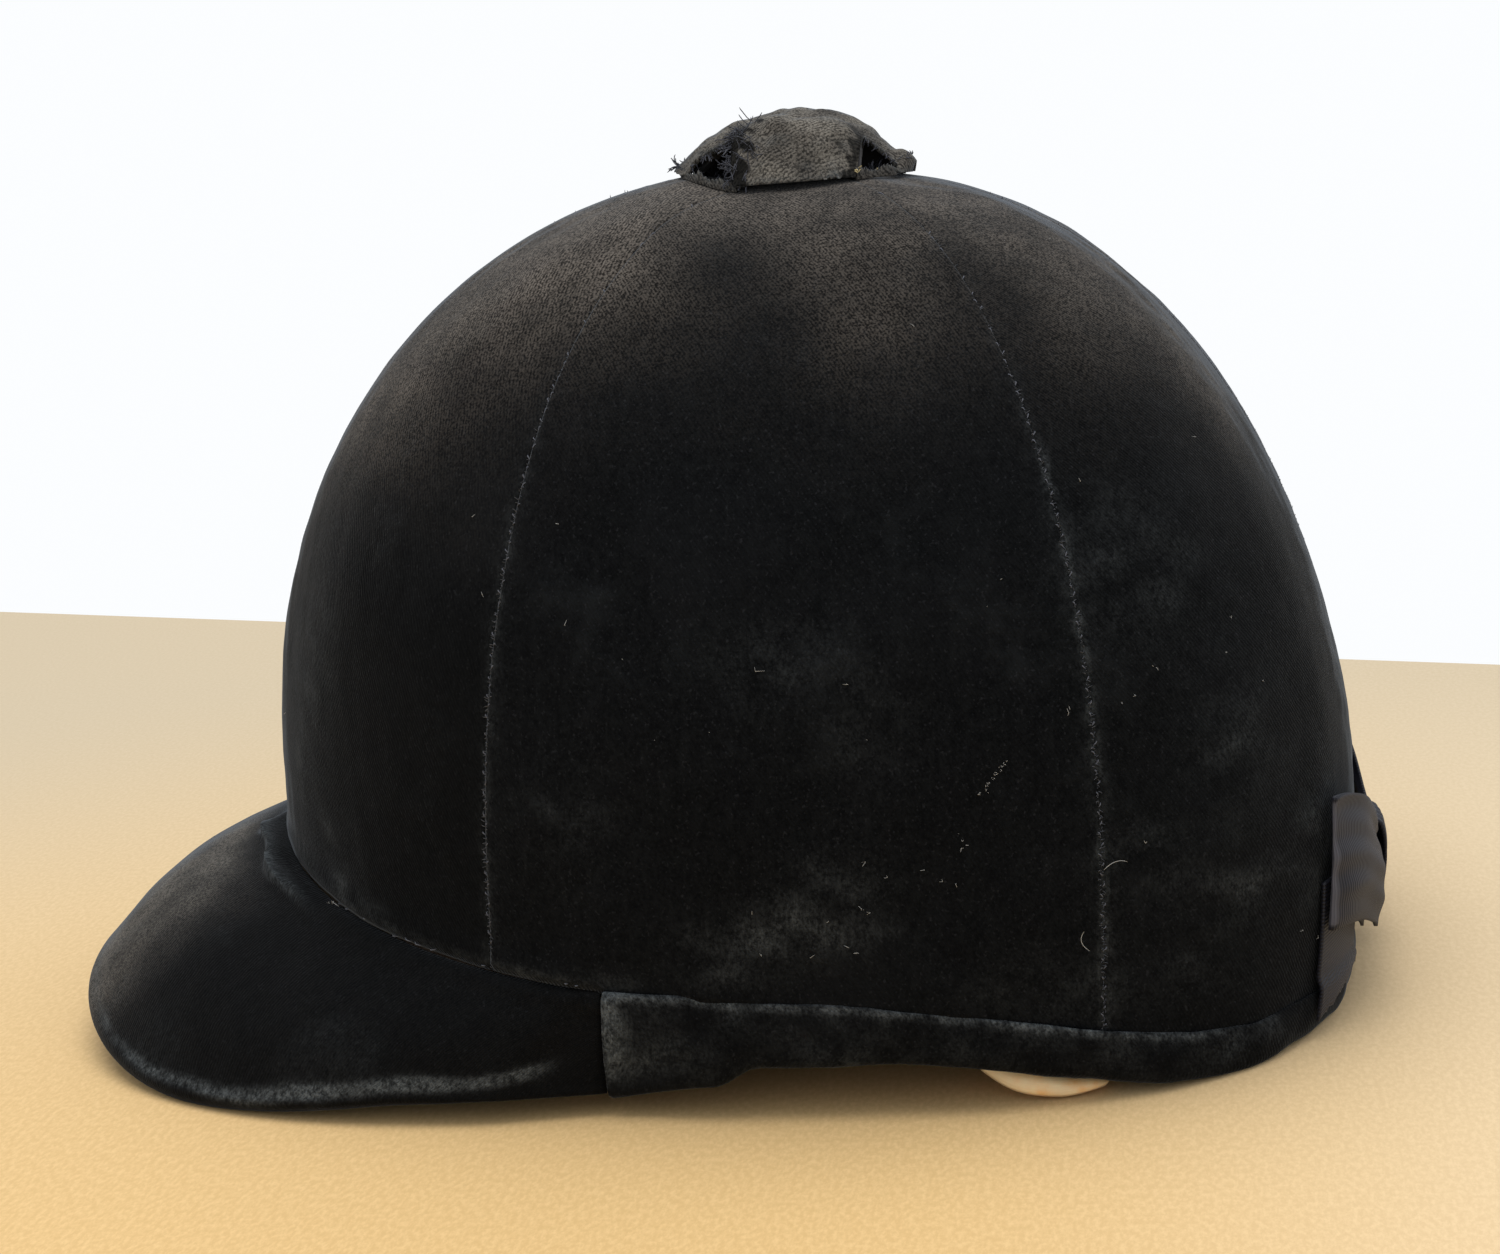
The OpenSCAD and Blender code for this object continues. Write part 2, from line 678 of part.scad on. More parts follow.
module lining_panel(from, to) {
    cols = [for (a = half_cols) if (a > from - 0.01 && a < to + 0.01) a];
    last = len(cols) - 1;
    function move(i) = i == 0 ? aside(from) : i == last ? -aside(to) : [0, 0, 0];
    function column(i, d) = shifted(
        dome_column(cols[i], [for (h = [lining_low, pad_high]) rim(cols[i]) + h], d, [pad_hole]),
        move(i));
    sheet(
        [for (i = [0:last]) column(i, lining_out)],
        [for (i = [0:last]) column(i, quilt(i))]
    );
}

module lining_front_left() {
    color("#c99a55") lining_panel(0, seam_front);
}

module lining_side_left() {
    color("#c99a55") lining_panel(seam_front, seam_rear);
}

module lining_rear_left() {
    color("#c99a55") lining_panel(seam_rear, 180);
}

module lining_front_right() {
    mirrored() lining_front_left();
}

module lining_side_right() {
    mirrored() lining_side_left();
}

module lining_rear_right() {
    mirrored() lining_rear_left();
}

// Round satin patch where the lining's panels meet, with a small eye for its lace
module lining_patch() {
    function disc(a, d) = [for (s = [patch_share, 0.6*patch_share, patch_eye])
        at_latitude(a, acos(s), d)];
    cols = [for (k = [0:25]) 360*k/26];
    color("#d2a561")
    sheet(
        [for (a = cols) disc(a, lining_in + 0.4)],
        [for (a = cols) disc(a, lining_in + 1.4)],
        ring = true
    );
}

// Leather sweatband: a foot sewn to the rim's inner fold, and the band that stands on it
module sweatband() {
    foot = binding_in + layer_gap;
    function path(a, d, lift) = concat(
        [at_height(a, rim(a) + lift, foot)],
        [for (h = [lift, pad_low, lining_low, sweatband_height]) at_height(a, rim(a) + h, d)]
    );
    color("#6b4423")
    sheet(
        [for (a = ring_cols) path(a, sweat_out, 0.9 + leather)],
        [for (a = ring_cols) path(a, sweat_in, 0.9)],
        ring = true
    );
}

// Small ribbon bow on the inside of the sweatband, at the rear
module sweatband_bow() {
    mid = 15;
    depth = sweat_in + layer_gap + 0.4;
    xs = [for (k = [6:-1:-6]) 2.3*k];
    function half_high(x) = 2.6 + 3.4*smooth((abs(x) - 2)/6);
    function puff(x) = abs(x) < 2.5 ? 2.2 : 1.6 - 0.9*abs(x)/14;
    function high(x, k) = rim(180) + mid + half_high(x)*k;
    color("#2a2233")
    sheet(
        [for (x = xs) [for (k = [-1, 0, 1]) bow_point(x, high(x, k), -depth)]],
        [for (x = xs) [for (k = [-1, 0, 1])
            bow_point(x, high(x, k), -depth - puff(x)*(1 - 0.35*abs(k)))]]
    );
}

// Loose fold of the lining's satin: it comes out over the sweatband, passes under the rim and
// shows as a rounded lobe below it, behind the wearer's left ear
module lining_fold() {
    from = 103;
    to = 120.5;
    low = 0.6;
    satin = 0.9;
    steps = 12;
    over = sweat_in + layer_gap + 0.3;
    out = 2.5;
    function side(k) = abs(2*k/steps - 1);
    function wave(k) = 0.9 + 0.7*sin(360*1.5*k/steps);
    function drape(k, d) = let (
        a = from + (to - from)*k/steps,
        edge = rim(a),
        top = edge + sweatband_height + 1,
        hem = low + (edge - 4*low)*pow(side(k), 2) + satin - d,
        reach = out + (over - out)*pow(side(k), 4),
        under = edge - 0.5 - 0.9*d
    ) [
        at_height(a, hem, reach + 0.3*d),
        at_height(a, (hem + under)/2, (reach + over)/2 + 0.4*d),
        at_height(a, under, over - 0.6 + d),
        at_height(a, edge + 1, over + wave(k) + d),
        at_height(a, (edge + top)/2, over + wave(k)/2 + d),
        at_height(a, top, over + d),
        at_height(a, top + 3, lining_in + 0.9 + d)
    ];
    color("#d9b06b")
    sheet(
        [for (k = [0:steps]) drape(k, 0)],
        [for (k = [0:steps]) drape(k, satin)]
    );
}

shell();
peak_board();
gore_front_left();
gore_front_right();
gore_side_left();
gore_side_right();
gore_rear_left();
gore_rear_right();
peak_cover();
peak_underlining();
rim_band();
brow_binding();
vent_eyelet();
button_core();
button_cover();
bow_loop_left();
bow_loop_right();
bow_tail_left();
bow_tail_right();
bow_knot();
crown_pad();
fitting_pad();
lining_front_left();
lining_front_right();
lining_side_left();
lining_side_right();
lining_rear_left();
lining_rear_right();
lining_patch();
lining_fold();
sweatband();
sweatband_bow();
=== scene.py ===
"""Looks of a velvet hunt cap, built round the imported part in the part's own frame.

The front is -Y, the wearer's left is +X and up is +Z. The shape functions below work in
millimetres and repeat the part's own formulas; meshes are made in metres.
"""

import math

import bpy
import numpy as np
from mathutils import Matrix, Vector

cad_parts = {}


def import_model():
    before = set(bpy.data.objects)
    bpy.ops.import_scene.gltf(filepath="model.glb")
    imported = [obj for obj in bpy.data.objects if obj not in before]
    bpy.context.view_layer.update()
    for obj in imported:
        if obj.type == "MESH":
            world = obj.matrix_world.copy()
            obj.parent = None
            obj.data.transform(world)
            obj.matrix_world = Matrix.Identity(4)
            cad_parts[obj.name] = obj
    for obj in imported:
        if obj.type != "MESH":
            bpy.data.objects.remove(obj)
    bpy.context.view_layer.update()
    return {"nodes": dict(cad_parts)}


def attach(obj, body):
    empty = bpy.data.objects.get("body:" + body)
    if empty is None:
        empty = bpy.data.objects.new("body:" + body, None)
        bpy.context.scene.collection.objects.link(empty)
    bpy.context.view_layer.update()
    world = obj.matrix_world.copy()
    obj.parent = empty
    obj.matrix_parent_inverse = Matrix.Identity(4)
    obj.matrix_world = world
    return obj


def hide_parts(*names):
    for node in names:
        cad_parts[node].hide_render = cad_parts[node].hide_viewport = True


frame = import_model()

MM = 0.001

# Crown: sizes, the plan's roundness, and values at its front, side and rear
FRONT, REAR, HALF, HEIGHT = 121.5, 114.8, 100.5, 174.0
PLAN_FRONT, PLAN_REAR = 2.0, 2.85
LEAN = math.tan(math.radians(2.3))
ROUND = 2.22
TUCK, TUCK_SPAN = (0.01, 0.009, 0.015), 30.0
BELLY = (39.0, 34.5, 30.0)
FULLNESS = (2.8, 2.3, 1.9)
APEX_Y = LEAN * HEIGHT

# Gores: the angles of their seams, the share of the crown at which they end, and how much
# higher the velvet stands over the front of the top
SEAM_FRONT, SEAM_REAR = 63.0, 115.0
SEAMS = (0.0, SEAM_FRONT, SEAM_REAR, 180.0, -SEAM_FRONT, -SEAM_REAR)
GORE_TOP = 0.104
FULLER = 3.1

# Depths of the layers below the velvet's face
VELVET = 1.2
FOAM_OUT, FOAM, FOAM_ROUND = 4.8, 5.0, 2.4
LINING_OUT, LINING_IN = 10.1, 12.6
SWEAT_OUT, SWEAT_IN = 12.9, 14.3
BINDING_IN = 6.3

# Rim and band
BAND_START, BAND_HIGH, BAND_LOW, BAND_FALL = 75.0, 25.5, 9.0, 65.0
SEAM_HIGH, SEAM_SIDE = 41.0, 24.5
EAR_AT, EAR_HIGH, EAR_FRONT, EAR_REAR = 94.0, 9.9, 48.0, 38.0
BROW_DROP, BROW_SPAN = 10.0, 34.0
SWEAT_HIGH = 35.0
LINING_LOW = 22.0
PATCH_SHARE = 0.23
FOLD_START, FOLD_SPAN = 103, 17.5

# Peak
PEAK_HALF, PEAK_REACH, PEAK_SHOULDER, PEAK_SQUARE = 100.3, 166.0, 55.0, 2.42
PEAK_ARCH, PEAK_STAND, SIDE_LIFT = 11.0, 58.0, 4.9
COVER, SKIN_GAP, BOARD = 1.05, 0.2, 3.0
EDGE_R = COVER + SKIN_GAP + BOARD / 2
ROOT_SPAN, TAIL_END, BOARD_SPAN = 72.0, 74.6, 82.5
BOARD_OUT, UNDER_SHARE = 0.985, 0.84
PEAK_BELLY, PEAK_ROWS = 4.5, 44

# Button and bow
BUTTON_R, BUTTON_Y, BUTTON_ROUND = 25.5, APEX_Y - 2.0, 2.6
BOW_END, BOW_Z, KNOT_Z, RIBBON, KNOT_W, KNOT_H = 61.5, 35.5, 19.5, 26.0, 15.0, 18.7
RIBBON_THICK, TAIL_SHARE = 0.62, 0.85
LOOP_IN = 1.7
LOOP_OUT = LOOP_IN + 1.4 + 1.8
THROAT = KNOT_W / 2 + 0.7

# Pitches of the twill under the pile and of the ribbon's ribs
TWILL_PITCH, RIB_PITCH = 0.86, 0.75

# Camera: place in metres, turns, and focal length and width of the picture in pixels
EYE = (0.53105, 0.07628, 0.1785)
HEADING, PITCH, ROLL = math.radians(9.54), math.radians(10.79), math.radians(-4.64)
FOCAL, PICTURE = 2457.0, 1500


# Small maths


def smooth(t):
    """An eased step from 0 at t = 0 to 1 at t = 1."""
    t = np.clip(t, 0.0, 1.0)
    return t * t * (3 - 2 * t)


def bump(t, width):
    """A bell of height 1 at t = 0."""
    return np.exp(-((t / width) ** 2))


def unit(v):
    """Vectors of length 1."""
    return v / np.maximum(np.linalg.norm(v, axis=-1, keepdims=True), 1e-9)


def spow(v, e):
    """A power that keeps the sign."""
    return np.sign(v) * np.abs(v) ** e


def waves(p, size, seed):
    """Smooth noise of about unit spread at points p, with features of about size mm."""
    rng, count = np.random.default_rng(seed), 12
    out = np.zeros(p.shape[:-1])
    for _ in range(count):
        k = unit(rng.normal(size=3)) * 2 * math.pi / size * rng.uniform(0.6, 1.6)
        out += np.sin(p @ k + rng.uniform(0, 2 * math.pi))
    return out / math.sqrt(count / 2)


def normals(grid):
    """Unit normals of a grid of points, away from the middle of the head."""
    n = unit(np.cross(np.gradient(grid, axis=0), np.gradient(grid, axis=1)))
    away = grid - np.array([0.0, 0.0, 60.0])
    return n * np.where((n * away).sum(-1, keepdims=True) < 0, -1.0, 1.0)


def run(points, axis=1):
    """Length along each line of a grid from its first point, or along a polyline for axis 0."""
    step = np.linalg.norm(np.diff(points, axis=axis), axis=-1)
    return np.insert(np.cumsum(step, axis), 0, 0.0, axis)


def resample(points, n):
    """n points evenly spaced along a polyline."""
    at = run(points, 0)
    want = np.linspace(0, at[-1], n)
    return np.stack([np.interp(want, at, c) for c in points.T], -1)


def rounded(points, n):
    """n even points along a polyline whose corners are cut, its ends kept."""
    for _ in range(3):
        a, b = points[:-1], points[1:]
        mid = np.empty((2 * len(a), points.shape[1]))
        mid[0::2], mid[1::2] = 0.75 * a + 0.25 * b, 0.25 * a + 0.75 * b
        points = np.concatenate([points[:1], mid[1:-1], points[-1:]])
    return resample(points, n)


def joined(*parts):
    """Points from their coordinates, each spread over the shape of the others."""
    return np.stack(np.broadcast_arrays(*parts), -1)


def mirrored(points, side):
    """Points of the wearer's left half, or their mirror image where side is -1."""
    return points * np.array([side, 1.0, 1.0])


# The crown


def mixed(a, front, side, rear):
    """A value at angle a round the crown, from its values at the front, side and rear."""
    c = np.cos(np.radians(a))
    return side * (1 - c * c) + np.where(c > 0, front, rear) * c * c


def belly(a):
    """Height at which the crown is widest."""
    return mixed(a, *BELLY)


def fullness(a):
    """Power of the crown's curve above its widest height."""
    return mixed(a, *FULLNESS)


def ring(a, share, z, d):
    """Points at height z on the plan scaled by share, d inside it."""
    c, s = np.cos(np.radians(a)), np.sin(np.radians(a))
    m = np.where(c > 0, PLAN_FRONT, PLAN_REAR)
    reach = np.where(c > 0, FRONT, REAR) - d
    x = (HALF - d) * spow(s, 2 / m) * share
    y = -reach * spow(c, 2 / m) * share + LEAN * z
    return joined(x, y, z)


def share_at(a, z, d=0.0):
    """Share of the plan at height z."""
    low = 1 - mixed(a, *TUCK) * ((belly(a) - z) / TUCK_SPAN) ** 2
    u = np.clip((z - belly(a)) / (HEIGHT - d - belly(a)), 0, 1)
    high = (1 - u ** fullness(a)) ** (1 / ROUND)
    return np.where(z < belly(a), low, high)


def on_crown(a, z, d=0.0):
    """Points at angle a and height z, d below the velvet's face."""
    a, z, d = np.broadcast_arrays(np.asarray(a, float), np.asarray(z, float), d)
    return ring(a, share_at(a, z, d), z, d)


def at_share(a, share, d=0.0):
    """Points where the crown has narrowed to a share of its plan, d below the face."""
    z = belly(a) + (HEIGHT - d - belly(a)) * (1 - share**ROUND) ** (1 / fullness(a))
    return ring(a, share, z, d)


def meridians(angles, z0, share, d, n):
    """A grid with one column for each angle, from height z0 up to a share of the crown."""
    t = np.linspace(0, 1, 260)
    out = []
    for a, z in zip(angles, np.broadcast_to(z0, angles.shape)):
        top = math.acos(share)
        start = math.acos(min(1.0, float(share_at(a, z, d)))) if z > belly(a) else 0.0
        below = on_crown(a, z + (max(z, belly(a)) - z) * t[:-1:4], d)
        q = start + (top - start) * t**2
        line = at_share(a, np.cos(q), d)
        out.append(resample(np.concatenate([below, line]) if z < belly(a) else line, n))
    return np.array(out)


def turn(a):
    """Angle from the front, 0 to 180 on either side."""
    a = np.abs(a)
    return np.where(a > 180, 360 - a, a)


def peak_seam(a):
    """Height of the seam between the crown and the peak."""
    return SEAM_SIDE + (SEAM_HIGH - SEAM_SIDE) * np.cos(np.radians(a)) ** 2


def rim(a):
    """Height of the rim, which rises over the ears and the brow."""
    b = turn(a)
    t = (b - EAR_AT) / np.where(b < EAR_AT, EAR_FRONT, EAR_REAR)
    ear = EAR_HIGH * np.cos(np.radians(90 * np.minimum(1, np.abs(t)))) ** 2
    f = smooth((BAND_START - 1 - b) / BROW_SPAN)
    return ear * (1 - f) + (peak_seam(b) - BROW_DROP) * f


def band_top(a):
    """Height of the band's upper edge."""
    t = np.clip((turn(a) - BAND_START) / BAND_FALL, 0, 1)
    return BAND_LOW + (BAND_HIGH - BAND_LOW) * (0.5 + 0.5 * np.cos(np.pi * t))


def gore_low(a):
    """Height at which a gore's lower edge is tucked in."""
    return np.where(turn(a) < BAND_START, peak_seam(a) - 0.2, band_top(a) - 1.0)


# Meshes


def strip(m, n, ring_of=False):
    """Quads of an m by n grid of points."""
    i = np.arange(m if ring_of else m - 1)[:, None]
    j = np.arange(n - 1)[None, :]
    a, b = i * n + j, ((i + 1) % m) * n + j
    return np.stack([a + 0 * j, a + 1, b + 1, b + 0 * j], -1).reshape(-1, 4)


def sheet_faces(m, n, ring_of=False):
    """Quads of a closed solid between two m by n grids, the outer one first."""
    skin = strip(m, n, ring_of)
    k = m * n
    i = np.arange(m if ring_of else m - 1)
    nxt = (i + 1) % m
    low = np.stack([i * n, nxt * n, nxt * n + k, i * n + k], -1)
    high = np.stack([nxt * n, i * n, i * n + k, nxt * n + k], -1) + n - 1
    parts = [skin, skin[:, ::-1] + k, low, high]
    if not ring_of:
        j = np.arange(n - 1)
        last = (m - 1) * n
        parts.append(np.stack([j + 1, j, j + k, j + 1 + k], -1))
        parts.append(np.stack([last + j, last + j + 1, last + j + 1 + k, last + j + k], -1))
    return np.concatenate(parts)


def make(name, points, faces, material, uv=None, fields=None, node=None, slot=None):
    """A mesh object from points in mm. Its fields are numbers at the points for the shaders."""
    points = np.asarray(points, float).reshape(-1, 3)
    mesh = bpy.data.meshes.new(name)
    mesh.vertices.add(len(points))
    mesh.vertices.foreach_set("co", (points * MM).astype(np.float32).ravel())
    mesh.loops.add(faces.size)
    mesh.loops.foreach_set("vertex_index", faces.astype(np.int32).ravel())
    mesh.polygons.add(len(faces))
    mesh.polygons.foreach_set("loop_start", np.arange(0, faces.size, faces.shape[1]).astype(np.int32))
    mesh.update(calc_edges=True)
    mesh.validate()
    mesh.polygons.foreach_set("use_smooth", np.ones(len(mesh.polygons), bool))
    if uv is not None:
        flat = np.asarray(uv, float).reshape(-1, 2)
        loops = np.empty(len(mesh.loops), np.int32)
        mesh.loops.foreach_get("vertex_index", loops)
        layer = mesh.uv_layers.new(name="cloth")
        layer.data.foreach_set("uv", flat[loops].astype(np.float32).ravel())
    for key, values in (fields or {}).items():
        layer = mesh.attributes.new(key, "FLOAT", "POINT")
        layer.data.foreach_set("value", np.asarray(values, np.float32).ravel())
    piece = bpy.data.objects.new(name, mesh)
    bpy.context.scene.collection.objects.link(piece)
    mesh.materials.append(material)
    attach(piece, "root")
    if node:
        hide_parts(node)
    return piece


def sheet_piece(name, outer, inner, material, uv=None, fields=None, ring_of=False, **kw):
    """A closed solid between an outer and an inner grid, its faces turned outwards."""
    faces = sheet_faces(*outer.shape[:2], ring_of)
    way = np.cross(np.gradient(outer, axis=1), np.gradient(outer, axis=0))
    faces = faces if (way * (outer - inner)).sum() > 0 else faces[:, ::-1]
    twice = {k: np.stack([v, v]) for k, v in (fields or {}).items()}
    uv = None if uv is None else np.stack([uv, uv])
    return make(name, np.stack([outer, inner]), faces, material, uv, twice, **kw)


def threads(name, paths, radius, sides, material, slot="velvet", lifted=True):
    """One piece of thin round threads along paths of points in mm."""
    points, faces, base = [], [], 0
    for path in paths:
        path = np.asarray(path, float)
        along = unit(np.gradient(path, axis=0))
        aside = unit(np.cross(along, np.array([0.31, 0.52, 0.79])))
        up = np.cross(along, aside)
        taper = np.full((len(path), 1), radius)
        taper[[0, -1]] *= 0.45
        for w in range(sides):
            angle = 2 * math.pi * w / sides
            points.append(path + (aside * math.cos(angle) + up * math.sin(angle)) * taper)
        faces.append(strip(sides, len(path), True) + base)
        base += len(path) * sides
    points = np.concatenate(points)
    return make(name, fuller(points) if lifted else points, np.concatenate(faces), material, slot=slot)


def flat_uv(face, row):
    """Cloth coordinates in mm: across along one row of a grid, and down each column."""
    return joined(run(face[:, row], 0)[:, None], run(face))


# Materials


class Nodes:
    """Builds a material from nodes, a few words for each."""

    def __init__(self, name):
        self.material = bpy.data.materials.new(name)
        self.material.use_nodes = True
        self.tree = self.material.node_tree
        self.shader = self.tree.nodes["Principled BSDF"]

    def add(self, kind, inputs=None, **props):
        n = self.tree.nodes.new(kind)
        for key, value in props.items():
            setattr(n, key, value)
        for key, value in (inputs or {}).items():
            self.give(n.inputs[key], value)
        return n

    def give(self, socket, value):
        if isinstance(value, bpy.types.NodeSocket):
            self.tree.links.new(value, socket)
        elif isinstance(value, tuple) and len(value) == 3 and socket.type == "RGBA":
            socket.default_value = (*value, 1.0)
        else:
            socket.default_value = value

    def set(self, **inputs):
        for key, value in inputs.items():
            self.give(self.shader.inputs[key.replace("_", " ")], value)

    def sheen(self, weight, rough, tint):
        self.set(Sheen_Weight=weight, Sheen_Roughness=rough, Sheen_Tint=tint)

    def done(self, color, rough, normal, **others):
        self.set(Base_Color=color, Roughness=rough, Normal=normal, **others)
        return self.material

    def place(self):
        return self.add("ShaderNodeTexCoord").outputs["Object"]

    def cloth(self):
        return self.add("ShaderNodeUVMap", uv_map="cloth").outputs["UV"]

    def axes(self, at):
        parts = self.add("ShaderNodeSeparateXYZ", {"Vector": at}).outputs
        return parts["X"], parts["Y"]

    def field(self, name):
        return self.add("ShaderNodeAttribute", attribute_name=name).outputs["Fac"]

    def noise(self, at, scale, detail=3.0, rough=0.55):
        inputs = {"Vector": at, "Scale": scale, "Detail": detail, "Roughness": rough}
        return self.add("ShaderNodeTexNoise", inputs).outputs["Fac"]

    def patches(self, at, scale, detail, rough, lo, hi, *to):
        """Noise between lo and hi, brought to 0 to 1 or to a span of its own."""
        return self.span(self.noise(at, scale, detail, rough), lo, hi, *to)

    def cells(self, at, scale):
        return self.add("ShaderNodeTexVoronoi", {"Vector": at, "Scale": scale}).outputs["Distance"]

    def math(self, kind, a, b=0.0, clamp=False):
        return self.add("ShaderNodeMath", {0: a, 1: b}, operation=kind, use_clamp=clamp).outputs[0]

    def times(self, a, b, clamp=False):
        return self.math("MULTIPLY", a, b, clamp)

    def total(self, *weighted):
        """Sum of values, each times its weight."""
        parts = [self.times(value, weight) for value, weight in weighted]
        out = parts[0]
        for part in parts[1:]:
            out = self.math("ADD", out, part)
        return out

    def wave(self, pitch, *values):
        """Waves of a pitch along one value, or those along two crossed, from 0 to 1."""
        out = 0.5
        for value in values:
            out = self.times(self.math("SINE", self.times(value, 2 * math.pi / pitch)), out)
        return self.math("ADD", out, 0.5)

    def span(self, value, lo, hi, to_lo=0.0, to_hi=1.0):
        """A value's way from lo to hi, eased at both ends, as a way from to_lo to to_hi."""
        inputs = {"Value": value, "From Min": lo, "From Max": hi, "To Min": to_lo, "To Max": to_hi}
        return self.add("ShaderNodeMapRange", inputs, interpolation_type="SMOOTHSTEP").outputs["Result"]

    def mix(self, share, a, b):
        n = self.add("ShaderNodeMix", data_type="RGBA")
        for k, value in ((0, share), (6, a), (7, b)):
            self.give(n.inputs[k], value)
        return n.outputs[2]

    def scaled(self, at, factors):
        return self.add("ShaderNodeMapping", {"Vector": at, "Scale": factors}).outputs["Vector"]

    def bump(self, height, strength, distance, under=None):
        inputs = {"Height": height, "Strength": strength, "Distance": distance}
        if under is not None:
            inputs["Normal"] = under
        return self.add("ShaderNodeBump", inputs).outputs["Normal"]


def velvet_material():
    """Black cotton velvet: thick pile, brown and bare to its twill where it is worn. Its colour also holds
    painted light: a pale rim at grazing angles, painted shade from the deep field, and painted highlights
    and sheen in its crushed and worn fields.
    """
    m = Nodes("velvet")
    at, cloth = m.place(), m.cloth()
    across, down = m.axes(cloth)
    stray = m.noise(m.scaled(cloth, (0.2, 0.2, 1)), 1.0, 4)
    twill = m.wave(TWILL_PITCH, m.total((across, 1.0), (down, 0.7), (stray, 1.6)))
    patch = m.patches(at, 26, 4, 0.6, 0.42, 0.78)
    cloud = m.patches(at, 38, 6, 0.7, 0.56, 0.76)
    stroked = m.patches(m.scaled(cloth, (0.5, 0.09, 1)), 1.0, 5, 0.7, 0.50, 0.78)
    streak = m.patches(m.scaled(cloth, (1.7, 0.30, 1)), 1.0, 4, 0.7, 0.32, 0.68, 0.50, 1.25)
    pile = m.noise(at, 1300, 3, 0.75)
    grit = m.span(m.total((pile, 0.6), (m.noise(at, 420, 4, 0.7), 0.4)), 0.36, 0.66)
    speck = m.patches(at, 1500, 1, 0.5, 0.60, 0.78)
    fine = m.patches(at, 2000, 2, 0.6, 0.38, 0.62)
    ragged = m.times(m.patches(at, 75, 6, 0.72, 0.36, 0.66, 0.60, 1.10), streak)
    bare = m.patches(at, 34, 6, 0.7, 0.28, 0.66, 0.45, 1.0)
    grain = m.span(m.total((grit, 0.24), (fine, 0.50), (twill, 0.26)), 0.12, 0.88)
    # Brown and grey tones of worn pile; on the peak's front they also carry painted sheen.
    brown = m.mix(grain, (0.0125, 0.0108, 0.0094), (0.150, 0.130, 0.110))
    grey = m.mix(grain, (0.042, 0.038, 0.032), (0.215, 0.196, 0.166))
    # Colour of the crushed pile; its field also carries painted highlights, on the peak's ridge and front
    # and on the ribbon's folds.
    brushed = m.mix(grit, (0.016, 0.0185, 0.0200), (0.118, 0.133, 0.140))
    # Facing is high where the velvet is seen at a grazing angle; it drives the painted rim highlight below.
    facing = m.add("ShaderNodeLayerWeight", {"Blend": 0.5}).outputs["Facing"]
    color = m.mix(patch, (0.0017, 0.0021, 0.0027), (0.0046, 0.0052, 0.0062))
    # Of the tones mixed in below, the deep field's near-black is painted shade and the facing term's pale
    # blue-grey is a painted rim highlight.
    for share, tone in (
        (m.times(cloud, 0.55), (0.0150, 0.0172, 0.0190)),
        (m.times(stroked, 0.35), (0.0112, 0.0126, 0.0136)),
        (m.times(grit, 0.46), (0.0098, 0.0110, 0.0122)),
        (m.times(speck, 0.13), (0.068, 0.072, 0.082)),
        (m.times(m.field("wear_and_sheen"), bare), brown),
        (m.field("pale"), grey),
        (m.times(m.field("crush_and_highlight"), ragged, True), brushed),
        (m.field("deep"), (0.0014, 0.0016, 0.0016)),
        (m.span(facing, 0.82, 0.97, 0.0, 0.7), (0.090, 0.104, 0.122)),
    ):
        color = m.mix(share, color, tone)
    m.sheen(0.15, 0.30, (0.54, 0.57, 0.60))
    height = m.total((pile, 0.7), (twill, 0.25))
    normal = m.bump(height, 0.6, 0.0004, m.bump(cloud, 0.25, 0.0012))
    return m.done(color, 0.95, normal, Specular_IOR_Level=0.06)


def ribbon_material(name="ribbon", color=(0.0036, 0.0038, 0.0074)):
    """Grosgrain: fine ribs across the ribbon."""
    m = Nodes(name)
    rib = m.wave(RIB_PITCH, m.axes(m.cloth())[0])
    # Painted highlight: the ribs' crests are mixed towards a lighter copy of the ribbon's colour.
    shade = m.mix(m.times(rib, 0.8), color, tuple(2.6 * c + 0.002 for c in color))
    dirt = m.patches(m.place(), 220, 4, 0.6, 0.5, 0.85, 0, 0.2)
    shade = m.mix(dirt, shade, (0.036, 0.034, 0.042))
    # Painted highlight along the loops' folds.
    shade = m.mix(m.field("crush_and_highlight"), shade, (0.16, 0.16, 0.19))
    m.sheen(0.09, 0.35, (0.36, 0.38, 0.52))
    return m.done(shade, 0.62, m.bump(rib, 0.7, 0.00018), Specular_IOR_Level=0.35)


def satin_material(name="satin", light=(0.62, 0.39, 0.15), deep=(0.42, 0.24, 0.08), patch=30.0):
    """Aged amber satin."""
    m = Nodes(name)
    thread = m.noise(m.scaled(m.cloth(), (0.2, 9.0, 1.0)), 1.0, 2, 0.6)
    color = m.mix(m.patches(m.place(), patch, 5, 0.6, 0.4, 0.75), light, deep)
    color = m.mix(m.span(thread, 0.35, 0.7, 0, 0.35), color, (0.80, 0.62, 0.36))
    m.sheen(0.4, 0.3, (1.0, 0.82, 0.56))
    rough = m.span(thread, 0.3, 0.7, 0.28, 0.42)
    return m.done(color, rough, m.bump(thread, 0.2, 0.0002), Specular_IOR_Level=0.5)


def leather_material():
    """Sweatband leather, smooth, darkened where it was held against the head."""
    m = Nodes("leather")
    at = m.place()
    grain = m.cells(at, 900.0)
    stain = m.patches(at, 22, 5, 0.65, 0.4, 0.7)
    color = m.mix(stain, (0.26, 0.13, 0.06), (0.10, 0.05, 0.026))
    color = m.mix(m.span(grain, 0.0, 0.35, 0.3, 0.0), color, (0.05, 0.025, 0.014))
    normal = m.bump(m.math("ADD", grain, m.noise(at, 300, 3)), 0.35, 0.0003)
    return m.done(color, m.span(stain, 0, 1, 0.42, 0.6), normal, Specular_IOR_Level=0.45)


